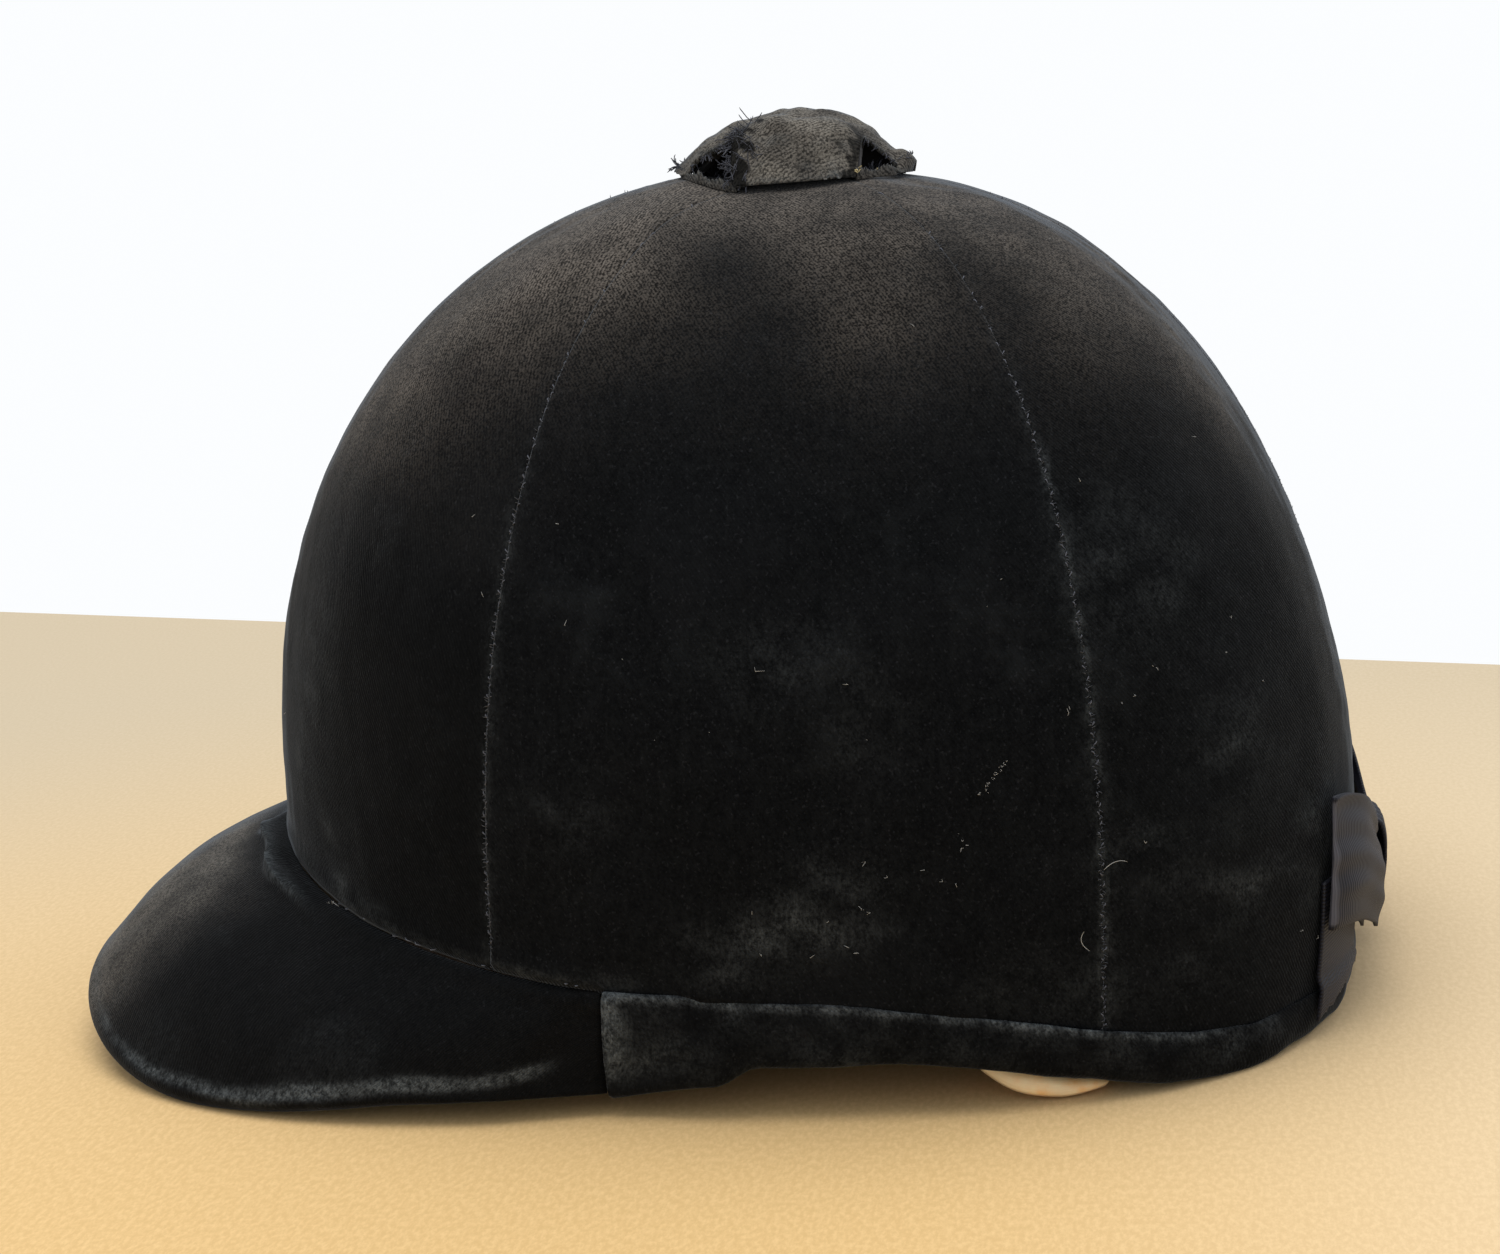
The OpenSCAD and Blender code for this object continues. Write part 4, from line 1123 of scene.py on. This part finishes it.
def button_threads(material):
    """Threads that hang from the torn edges of the button."""
    rng = np.random.default_rng(71)
    paths = []

    def hang(start, way, short, long, bend):
        paths.append(frayed_thread(rng, start, way, rng.uniform(short, long), bend))

    for side, many in ((1, 64), (-1, 34)):
        for _ in range(many):
            y = -10.6 + rng.normal() * 0.7
            x = side * rng.uniform(8.5, 22.5)
            way = (side * rng.uniform(0.1, 0.6), rng.uniform(-0.9, -0.1), rng.uniform(-1.0, 0.2))
            hang(dome(x, y, 0.2), way, 1.2, 4.2, 1.6)
        for count, y0, y1, out, stray, down, size in (
            (24, -21, -11, 0.4, 0.6, -1.0, (0.8, 2.2, 1.4)), (18, 15.6, 22, 0.5, 0.7, -0.8, (0.7, 1.8, 1.3)),
        ):
            for _ in range(count):
                y = rng.uniform(y0, y1)
                x = side * float(strip_half(np.array([y]))[0])
                hang(dome(x, y, 0.3), (side * out, rng.normal() * stray, down), *size)
    for count, x0, x1, r, end, lift, out, up, size in (
        (26, -6, 10, 24.6, -1.0, 0.5, (-0.2, 0.7), (-0.1, 0.7), (1.0, 3.2, 1.8)),
        (14, -7, 9, 24.3, 1.0, 1.2, (-0.3, 0.6), (-0.3, 0.5), (0.8, 2.0, 1.8)),
    ):
        for _ in range(count):
            x = rng.uniform(x0, x1)
            start = dome(x, end * math.sqrt(r**2 - x**2)) + (0, 0, lift)
            hang(start, (rng.uniform(*out), end, rng.uniform(*up)), *size)
    for side in (1, -1):
        for _ in range(70):
            y = rng.uniform(-11.0, -5.0)
            x = side * rng.uniform(9, 23.5) * (1 - 0.015 * abs(y + 8))
            way = (side * 0.25, rng.uniform(-0.5, 0.5), rng.choice([-1.0, 0.25]))
            hang(dome(x, y) + (0.3 * side, 0, 0.15), way, 1.5, 4.5, 0.7)
    for _ in range(220):
        x, y = rng.normal() * 5, rng.choice([rng.uniform(-22, -11), rng.uniform(16, 22)])
        foot = (x, y + BUTTON_Y, float(crown_top(x, y + BUTTON_Y)) + 0.3)
        hang(foot, (rng.normal() * 0.5, rng.normal() * 0.4, 1.0), 1.5, 3.2, 1.4)
    for p in paths:
        p[:, 2] = np.maximum(p[:, 2], crown_top(p[:, 0], p[:, 1]) + 0.25)
    return threads("button_threads", paths, 0.11, 5, material)


# Ribbon


def rear_point(x, z, out):
    """Points at the rear: x across, z high and out beyond the velvet's face."""
    a = 180 - np.sign(x) * np.degrees(np.arcsin(np.minimum(1, np.abs(x) / HALF) ** (PLAN_REAR / 2)))
    return on_crown(a, z, -np.asarray(out, float))


def loop_path(t, h):
    """A loop from above, t inside its outer face, at h from 1 at its upper edge to -1."""
    far = LOOP_IN + 1.7 + 2.3 * float(smooth((1 - h) / 1.6)) - 1.2 * float(smooth((-0.3 - h) / 0.7))
    end = BOW_END - 1.2 * h
    return np.array([
        [1, LOOP_IN + t], [THROAT, LOOP_IN + t], [0.35 * BOW_END, LOOP_IN + t],
        [0.6 * BOW_END, LOOP_IN + t], [0.8 * BOW_END, LOOP_IN + t], [end - 2, LOOP_IN + t],
        [end - 0.5 * t, LOOP_IN + 0.7], [end - 0.7 - 0.5 * t, LOOP_IN + 1.4],
        [0.9 * BOW_END, 0.85 * far - t], [0.6 * BOW_END, far + 0.4 - t],
        [0.35 * BOW_END, far + 0.4 - t], [THROAT, LOOP_OUT - t], [1, LOOP_OUT - 0.2 - t],
    ])


def bow_loop(node, side, material):
    """One loop of the bow, gathered where it enters the knot."""
    n = 90
    h = np.linspace(1, -1, 41)[:, None]
    pinch = KNOT_H / 2 - 1.2
    grids = []
    for t in (0.0, RIBBON_THICK):
        x, out = np.moveaxis(np.array([rounded(loop_path(t, k), n) for k in h[:, 0]]), 2, 0)
        half = pinch + (RIBBON / 2 - pinch) * smooth((x - THROAT) / (0.35 * BOW_END))
        mid = KNOT_Z + (BOW_Z - KNOT_Z) * smooth((x - THROAT) / (BOW_END - THROAT))
        gather = bump(x - 8, 9) * 0.35 * np.sin(h * 15 + 0.6 * np.sin(x / 3))
        soft = 0.22 * waves(joined(x, 30 * h, out), 20, 81)
        layer = np.linspace(-1, 1, n)[None] * 0.35 * (1 - np.abs(h))
        z = mid + h * half + 0.25 * waves(joined(x, 0 * h, out), 26, 82)
        lifted = np.maximum(out + (gather + soft) * (out > 2.5) + layer * (out > 2.5), LOOP_IN)
        grids.append(rear_point(side * x, z, lifted))
    along = run(grids[0])[20]
    # A painted highlight along the fold at the loop's outer end.
    fold = 0.5 * bump(x - x.max(axis=1, keepdims=True), 0.7) * (np.abs(h) < 0.93)
    piece = sheet_piece(
        f"{node}_ribbon", *grids, material, joined(along, 13 * h), {"crush_and_highlight": fold},
        node=node, slot="ribbon",
    )
    return piece


def bow_tail(node, side, material):
    """One tail of the bow, hanging over the band, its lower edge ragged."""
    v = np.linspace(0, 1, 34)[:, None]
    s = np.linspace(0, 1, 44)[None]
    x = BOW_END - 0.3 - TAIL_SHARE * RIBBON * v
    low = 4.5 + 0.28 * (BOW_END - x)
    high = BOW_Z - RIBBON / 2 + 9
    ragged = 0.35 * np.random.default_rng(83).normal(size=v.shape)
    z = low + ragged * (1 - s) ** 6 + (high - low) * s
    x = x + 2 * (1 - s)
    a = 180 - np.degrees(np.arcsin((x / HALF) ** (PLAN_REAR / 2)))
    lift = 0.3 + 1.0 * smooth((band_top(a) + 4 - z) / 3) + 0.25 * np.sin(np.pi * s)
    lift = lift + 0.5 * bump(s, 0.3) * (0.5 + 0.5 * np.sin(3 * v))
    grids = [rear_point(side * x, z, lift + t) for t in (RIBBON_THICK, 0.0)]
    piece = sheet_piece(
        f"{node}_ribbon", *grids, material, joined((high - 4) * s, 22 * v),
        node=node, slot="ribbon",
    )
    return piece


def bow_knot(material):
    """The knot, wrapped round the middle of the bow."""
    crest, h = LOOP_OUT + 2.6, KNOT_H / 2

    def wrap(t):
        return np.array([
            [h - t, 0.3], [h - t, 0.8 * crest - t], [0.72 * h - 0.5 * t, crest - 0.5 - t],
            [0.3 * h, crest - t], [-0.3 * h, crest - t], [0.5 * t - 0.72 * h, crest - 0.5 - t],
            [t - h, 0.8 * crest - t], [t - h, 0.3],
        ])

    x = KNOT_W * np.linspace(-0.5, 0.5, 30)[:, None]
    grids = []
    for t in (0.0, RIBBON_THICK):
        z, out = rounded(wrap(t), 60).T
        crease = 0.3 * np.sin(x * 1.9 + 0.15 * z) * smooth((out - 3) / 2)
        bulge = 0.5 * (1 - (x / (0.5 * KNOT_W)) ** 2) * smooth((out - 2) / 2)
        grids.append(rear_point(x + 0 * z, KNOT_Z + z + 0 * x, out + crease + bulge - 0.3))
    along = run(grids[0])[15]
    piece = sheet_piece(
        "bow_knot_ribbon", *grids, material, joined(along, x), node="bow_knot", slot="ribbon"
    )
    return piece


# Inside


def foam_piece(node, face, ripple, material):
    """A foam layer round the crown inside a face, its edges rounded."""
    n, along = normals(face), run(face)
    edge = np.minimum(along, along[:, -1:] - along)
    half = ((FOAM - 0.1) * np.sqrt(1 - (1 - np.clip(edge / FOAM_ROUND, 0, 1)) ** 2) + 0.1) / 2
    outer = face - n * (FOAM / 2 - half)[..., None]
    inner = face - n * (FOAM / 2 + half + ripple)[..., None]
    piece = sheet_piece(f"{node}_foam", outer, inner, material, ring_of=True, node=node, slot="foam")
    return piece


def crown_pad(material):
    """The pad under the top of the shell."""
    cols = np.linspace(0, 360, 97)[:-1]
    low = at_share(cols, math.cos(math.radians(12)), FOAM_OUT)[:, 2]
    face = meridians(cols, low, 0.15, FOAM_OUT, 60)
    return foam_piece("crown_pad", face, 0.12 * waves(face, 18, 91), material)


def fitting_pad(material):
    """The foam strip round the head."""
    cols = np.linspace(0, 360, 145)[:-1]
    z = np.linspace(rim(cols) + 10.5, rim(cols) + 32.0, 26, axis=-1)
    return foam_piece("fitting_pad", on_crown(cols[:, None], z, FOAM_OUT), 0.0, material)


# Panels of the lining: from and to these angles, with so many quilted channels
CHANNELS = {
    "front": (0.0, SEAM_FRONT, 4), "side": (SEAM_FRONT, SEAM_REAR, 3), "rear": (SEAM_REAR, 180.0, 4),
}
QUILT_STEPS, QUILT_GAP = 10, 0.01


def quilt_grids(lo, hi, channels):
    """Faces of a lining panel, its share of a puff at each point, and its stitched lines."""
    k = np.arange(channels * QUILT_STEPS + 1)
    cols = lo + (hi - lo) * k / k[-1]
    cols[0] += QUILT_GAP
    cols[-1] -= QUILT_GAP
    face = meridians(cols, rim(cols) + LINING_LOW, 0.15, LINING_OUT, 64)
    along = run(face)
    end = np.minimum(along, along[:, -1:] - along)
    puff = np.abs(np.sin(np.pi * k / QUILT_STEPS))[:, None] * smooth(end / 5.0)
    sewn = (k % QUILT_STEPS == 0)[:, None] | (end < 0.01)
    return face, normals(face), puff, sewn


def swell(piece, held):
    """Points of a panel blown up by a cloth simulation, with the points held kept still."""
    group = piece.vertex_groups.new(name="sewn")
    group.add([int(i) for i in held], 1.0, "REPLACE")
    cloth = piece.modifiers.new("swell", "CLOTH")
    s = cloth.settings
    s.quality = 4
    s.vertex_group_mass = "sewn"
    s.use_pressure = True
    s.uniform_pressure_force = 6.0
    s.effector_weights.gravity = 0.0
    s.shrink_min = -0.06
    s.tension_stiffness = 18
    s.compression_stiffness = 18
    s.bending_stiffness = 0.6
    cloth.collision_settings.use_collision = False
    cloth.point_cache.frame_start, cloth.point_cache.frame_end = 1, 20
    scene = bpy.context.scene
    for f in range(1, 21):
        scene.frame_set(f)
    graph = bpy.context.evaluated_depsgraph_get()
    mesh = piece.evaluated_get(graph).to_mesh()
    moved = np.empty(len(mesh.vertices) * 3)
    mesh.vertices.foreach_get("co", moved)
    piece.evaluated_get(graph).to_mesh_clear()
    piece.modifiers.remove(cloth)
    piece.vertex_groups.clear()
    scene.frame_set(1)
    return moved.reshape(-1, 3) / MM


def blown_up(face, n, puff, sewn, material):
    """Inner face of a panel swollen between its stitched lines, within the room it has."""
    count = puff.size
    flat = face - n * (1.05 + 0.35 * puff)[..., None]
    draft = make("draft", np.stack([face, flat]), sheet_faces(*puff.shape), material)
    held = np.concatenate([np.arange(count), count + np.flatnonzero(sewn.ravel())])
    moved = swell(draft, held)[count:].reshape(face.shape) - face
    bpy.data.objects.remove(draft)
    depth = -(moved * n).sum(-1, keepdims=True)
    sideways = moved + n * depth
    sideways *= np.minimum(1, 0.8 / np.maximum(np.linalg.norm(sideways, axis=-1, keepdims=True), 1e-6))
    return face + sideways - n * np.clip(depth, 1.0, 2.45)


def lining_panel(kind, side, material, settled):
    """One quilted panel of the lining. Its settled shape also serves the other side."""
    node = f"lining_{kind}_{'left' if side > 0 else 'right'}"
    face, n, puff, sewn = quilt_grids(*CHANNELS[kind])
    if kind not in settled:
        settled[kind] = blown_up(face, n, puff, sewn, material)
    outer, inner = mirrored(face - n * 0.1, side), mirrored(settled[kind], side)
    piece = sheet_piece(
        f"{node}_satin", outer, inner, material, flat_uv(face, 20),
        node=node, slot="satin",
    )
    return piece


def lining_patch(material):
    """The round patch at the top of the lining, its edge pleated."""
    share = np.cos(np.linspace(math.acos(PATCH_SHARE), math.acos(0.03), 30))
    a = np.linspace(0, 360, 145)[:-1, None]
    pleat = np.abs(np.sin(np.radians(a) * 16))
    fall = ((share - 0.03) / 0.2)[None]
    back = at_share(a, share, LINING_IN + 0.4)
    high = 0.45 + 0.5 * pleat * np.sin(np.pi * np.clip(fall, 0, 1)) + 0.25 * bump(fall - 1, 0.08)
    face = back - normals(back) * high[..., None]
    piece = sheet_piece(
        "lining_patch_satin", back, face, material, joined(a * 0.4, 23 * fall), ring_of=True,
        node="lining_patch", slot="satin",
    )
    return piece


def lining_fold(material):
    """The loose satin that passes under the rim and shows as a lobe below it."""
    rows = 70
    over, out = SWEAT_IN + 0.6, 2.5

    def path(a, u, d):
        side, edge = abs(2 * u - 1), float(rim(a))
        top = edge + SWEAT_HIGH + 1
        wave = 0.9 + 0.7 * math.sin(3 * math.pi * u) + 0.25 * math.sin(11 * math.pi * u + 1)
        wave = max(0.15, wave)
        hem = 0.6 + (edge - 2.4) * side**2 + 0.9 - d
        reach = out + (over - out) * side**4
        under = edge - 0.5 - 0.9 * d
        back = over - reach
        return np.array([
            [hem, reach + 0.6 * d], [0.4 * hem + 0.6 * under, reach + 0.04 * back + 0.7 * d],
            [under - 0.1, reach + 0.28 * back + 0.4 * d], [under, over - 0.6 + d],
            [edge + 1, over + wave + d], [(edge + top) / 2, over + wave / 2 + d], [top, over + d],
            [top + 3, LINING_IN + 0.9 + d],
        ])

    grids = []
    for d in (0.15, 0.75):
        cols = []
        for u in np.arange(91) / 90:
            a = FOLD_START + FOLD_SPAN * u
            z, depth = rounded(path(a, u, d), rows).T
            crease = 0.22 * math.sin(17 * u + 2) * bump(np.linspace(0, 1, rows) - 0.12, 0.16)
            cols.append(on_crown(a, z + crease, depth))
        grids.append(np.array(cols))
    uv = flat_uv(grids[0], 40)
    piece = sheet_piece(
        "lining_fold_satin", *grids, material, uv, node="lining_fold", slot="satin"
    )
    return piece


def sweatband(material):
    """The leather band round the head, its foot turned out to the binding."""
    cols = np.linspace(0, 360, 193)[:-1]
    grids = []
    for d, lift in ((SWEAT_OUT, 2.3), (SWEAT_IN, 0.9)):
        lines = []
        for a in cols:
            z = np.array([lift, lift, 10.5, 22, SWEAT_HIGH]) + float(rim(a))
            line = on_crown(np.full(5, a), z, np.array([BINDING_IN + 0.3, d, d, d, d]))
            bend = [line[1] + 0.32 * (line[0] - line[1]) / 2, line[1] + 1.3 * unit(line[2] - line[1])]
            lines.append(resample(np.concatenate([line[:1], bend, line[2:]]), 46))
        grids.append(np.array(lines))
    outer, inner = grids
    ripple = 0.12 * waves(inner, 30, 101) * smooth((run(inner) - 12) / 10)
    inner = inner - normals(inner) * np.maximum(0, ripple)[..., None]
    return sheet_piece(
        "sweatband_leather", outer, inner, material, joined(cols[:, None] * 1.7, run(outer)),
        ring_of=True, node="sweatband", slot="leather",
    )


def sweatband_stitches(material):
    """A row of stitches below the sweatband's upper edge."""
    paths = []
    for a in np.arange(0, 360, 1.6):
        a = a + np.array([0, 0.5, 1.0])
        paths.append(on_crown(a, rim(a) + SWEAT_HIGH - 2.2, SWEAT_IN + np.array([-0.1, 0.22, -0.1])))
    return threads("sweatband_stitches", paths, 0.2, 5, material, slot="leather", lifted=False)


def sweatband_bow(material):
    """The small flat bow at the rear of the sweatband."""
    x = np.linspace(13.8, -13.8, 120)[:, None]
    k = np.linspace(-1, 1, 24)[None]
    half = 2.6 + 3.4 * smooth((np.abs(x) - 2) / 6)
    depth = SWEAT_IN + 0.7
    puff = np.where(np.abs(x) < 2.5, 2.2, 1.6 - 0.9 * np.abs(x) / 14) * (1 - 0.35 * np.abs(k))
    puff = puff + 0.15 * np.sin(k * 9 + x) * bump(np.abs(x) - 4, 3)
    z = float(rim(180.0)) + 15 + half * k
    outer, inner = (rear_point(x + 0 * k, z, -depth - out) for out in (0 * z, puff))
    piece = sheet_piece(
        "sweatband_bow_ribbon", outer, inner, material, joined(x, 6 * k),
        node="sweatband_bow", slot="ribbon",
    )
    return piece


# Lint and loose threads


# Lint: angle, height, count and spread of its specks
SPECKS = (
    (112.5, 76, 1, 0.1), (120.5, 49.5, 1, 0.1), (123.5, 81, 2, 0.4), (103.5, 145, 3, 0.4),
    (43, 152.5, 1, 0.1), (152, 157.5, 1, 0.1), (102, 53, 4, 1.6), (97, 46, 5, 3.5), (92, 37, 9, 3.0),
    (95, 80, 8, 15.0), (60, 90, 5, 20.0), (130, 70, 9, 22.0), (150, 20, 3, 4.0),
)


def lint(material):
    """Pale specks, a scratch and two loose hairs on the velvet."""
    rng = np.random.default_rng(131)
    paths = []

    def speck(a, z, size):
        ends = [on_crown(a, z, 0.1)]
        for out in (-0.35, -0.2):
            a, z = a + rng.normal() * size / 1.8, z + rng.normal() * size
            ends.append(on_crown(a, z, out))
        paths.append(ends)

    for t in np.linspace(0, 1, 26):
        thick = 0.10 + 0.25 * bump(t, 0.15)
        speck(103.3 + 2.6 * t + rng.normal() * thick, 61.3 + 6.0 * t + rng.normal() * thick, 0.22)
    for a, z, count, spread in SPECKS:
        for _ in range(count):
            speck(a + rng.normal() * spread * 0.7, z + rng.normal() * spread, 0.30)
    t = np.linspace(0, 1, 9)
    paths.append(on_crown(115 + 2.5 * t, 45.4 + 3.2 * t * (1.35 - t) + 0.1, -0.5 - 0.5 * t))
    t = np.linspace(-0.6, 1, 7)
    paths.append(on_crown(112.4 + 0.9 * t * t, 32.8 - 2.4 * t, -0.5))
    return threads("lint_fibres", paths, 0.065, 4, material, slot=None)


# Stage


def camera():
    """The photograph's camera, at the wearer's left and about as high as the cap."""
    cam = bpy.data.cameras.new("camera")
    cam.sensor_width = 36
    cam.lens = FOCAL / PICTURE * 36
    cam.clip_start, cam.clip_end = 0.02, 50
    eye = bpy.data.objects.new("camera", cam)
    level = Vector((-math.cos(HEADING), -math.sin(HEADING), 0))
    ahead = level * math.cos(PITCH) - Vector((0, 0, 1)) * math.sin(PITCH)
    right = Vector((-math.sin(HEADING), math.cos(HEADING), 0))
    up = right.cross(ahead)
    across = right * math.cos(ROLL) + up * math.sin(ROLL)
    up = up * math.cos(ROLL) - right * math.sin(ROLL)
    turned = Matrix((across, up, -ahead)).transposed()
    eye.matrix_world = Matrix.Translation(EYE) @ turned.to_4x4()
    bpy.context.scene.collection.objects.link(eye)
    bpy.context.scene.camera = eye


def card_material():
    """Plain board under the cap, warmer and deeper in colour near it than far from it and lighter towards
    the rear, a gradient of painted light.
    """
    m = Nodes("card")
    at = m.place()
    fleck = m.noise(m.scaled(at, (500, 900, 500)), 1.0, 4, 0.7)
    tint = m.span(fleck, 0.35, 0.7)
    # Painted light: the board's colour is graded by place, deeper near the cap, paler far off and lighter
    # towards the rear, in place of uneven lighting.
    part = m.add("ShaderNodeVectorMath", {0: at, 1: (0.34, -0.02, 0.0)}, operation="DISTANCE")
    near = m.mix(tint, (0.72, 0.475, 0.205), (0.82, 0.56, 0.26))
    pale = m.mix(tint, (0.535, 0.435, 0.292), (0.570, 0.468, 0.325))
    light = m.mix(tint, (0.82, 0.65, 0.43), (0.88, 0.71, 0.48))
    near = m.mix(m.span(m.axes(at)[1], 0.02, 0.22, 0.0, 0.9), near, light)
    color = m.mix(m.span(part.outputs["Value"], 0.72, 0.16), pale, near)
    return m.done(color, 0.9, m.bump(fleck, 0.15, 0.0003), Specular_IOR_Level=0.2)


def floor():
    """The board under the cap, seen in the picture but no part of the cap."""
    corners = [(-0.98, -1.6, 0), (2.2, -1.6, 0), (2.2, 1.6, 0), (0.30, 1.6, 0)]
    mesh = bpy.data.meshes.new("floor")
    mesh.from_pydata(corners, [], [(0, 1, 2, 3)])
    mesh.materials.append(card_material())
    piece = bpy.data.objects.new("floor", mesh)
    bpy.context.scene.collection.objects.link(piece)


def lights():
    """A wide light above, one from the wearer's right and one from the rear."""
    for name, at, size, power, color in (
        ("top", (0.05, -0.10, 1.7), 1.6, 17, (1.0, 0.98, 0.95)),
        ("window", (-1.5, -0.7, 0.9), 1.2, 4.5, (0.95, 0.98, 1.0)),
        ("rear", (-0.9, 1.4, 0.9), 1.0, 4.5, (0.97, 0.98, 1.0)),
    ):
        light = bpy.data.lights.new(name, "AREA")
        light.shape, light.size, light.energy, light.color = "DISK", size, power, color
        lamp = bpy.data.objects.new(name, light)
        lamp.location = at
        lamp.rotation_mode = "QUATERNION"
        lamp.rotation_quaternion = (Vector((0, 0, 0.09)) - Vector(at)).to_track_quat("-Z", "Y")
        bpy.context.scene.collection.objects.link(lamp)


def world():
    """A white surround that the camera sees a little brighter than it lights the cap."""
    w = bpy.data.worlds.new("white")
    w.use_nodes = True
    tree = w.node_tree
    tree.nodes.clear()
    seen = tree.nodes.new("ShaderNodeLightPath")
    pick = tree.nodes.new("ShaderNodeMixShader")
    out = tree.nodes.new("ShaderNodeOutputWorld")
    tree.links.new(seen.outputs["Is Camera Ray"], pick.inputs[0])
    for k, color, strength in ((1, (0.85, 0.89, 0.95, 1), 0.85), (2, (0.97, 0.985, 1.0, 1), 1.0)):
        sky = tree.nodes.new("ShaderNodeBackground")
        sky.inputs["Color"].default_value = color
        sky.inputs["Strength"].default_value = strength
        tree.links.new(sky.outputs[0], pick.inputs[k])
    tree.links.new(pick.outputs[0], out.inputs["Surface"])
    bpy.context.scene.world = w
    bpy.context.scene.view_settings.view_transform = "Standard"


# The cap


def dress(node, material):
    """Gives a CAD node a material in place of its own."""
    mesh = frame["nodes"][node].data
    mesh.materials.clear()
    mesh.materials.append(material)


def build():
    """All pieces, each with its material."""
    velvet, ribbon, satin = velvet_material(), ribbon_material(), satin_material()
    leather, foam, shell = leather_material(), foam_material(), shell_material()
    pale_thread = thread_material("pale_thread", (0.42, 0.42, 0.40))
    dress("shell", shell)
    dress("peak_board", shell)
    dress("vent_eyelet", brass_material())
    dress("button_core", cloth_material("buckram", (0.016, 0.015, 0.016), (0.036, 0.033, 0.034), 0.9))
    for side, word in ((1, "left"), (-1, "right")):
        gore(f"gore_front_{word}", 0.0, SEAM_FRONT, side, 51, velvet)
        gore(f"gore_side_{word}", SEAM_FRONT, SEAM_REAR, side, 53, velvet)
        gore(f"gore_rear_{word}", SEAM_REAR, 180.0, side, 55, velvet)
        bow_tail(f"bow_tail_{word}", side, ribbon)
        bow_loop(f"bow_loop_{word}", side, ribbon)
        button_lip(f"button_lip_front_{word}", -23.2, -9.5, side, 67, velvet)
        button_lip(f"button_lip_rear_{word}", 15.0, 22.6, side, 68, velvet)
    seam_threads(thread_material("seam_thread", (0.10, 0.108, 0.135)))
    seam_fuzz(thread_material("seam_pile", (0.036, 0.041, 0.052)))
    loose_tuft(pale_thread)
    peak_velvet(velvet)
    peak_cloth(cloth_material("underlining", (0.006, 0.008, 0.007), (0.018, 0.022, 0.020), 1.1))
    rim_velvet(velvet)
    brow_tape(ribbon_material("binding_tape", (0.006, 0.006, 0.006)))
    button_velvet(velvet)
    button_threads(thread_material("frayed_thread", (0.034, 0.037, 0.052)))
    vent_glint(thread_material("painted_brass_glint", (0.62, 0.50, 0.24)))
    bow_knot(ribbon)
    crown_pad(foam)
    fitting_pad(foam)
    settled = {}
    for kind in CHANNELS:
        for side in (1, -1):
            lining_panel(kind, side, satin, settled)
    lining_patch(satin)
    # The lobe's satin is a much lighter copy of the lining's: painted light for the lobe below the rim.
    lining_fold(satin_material("satin_painted_lit", (1.0, 0.80, 0.48), (0.98, 0.50, 0.14), 110.0))
    sweatband(leather)
    sweatband_stitches(thread_material("stitching", (0.45, 0.34, 0.20)))
    sweatband_bow(ribbon)
    lint(pale_thread)


world()
lights()
floor()
camera()
build()
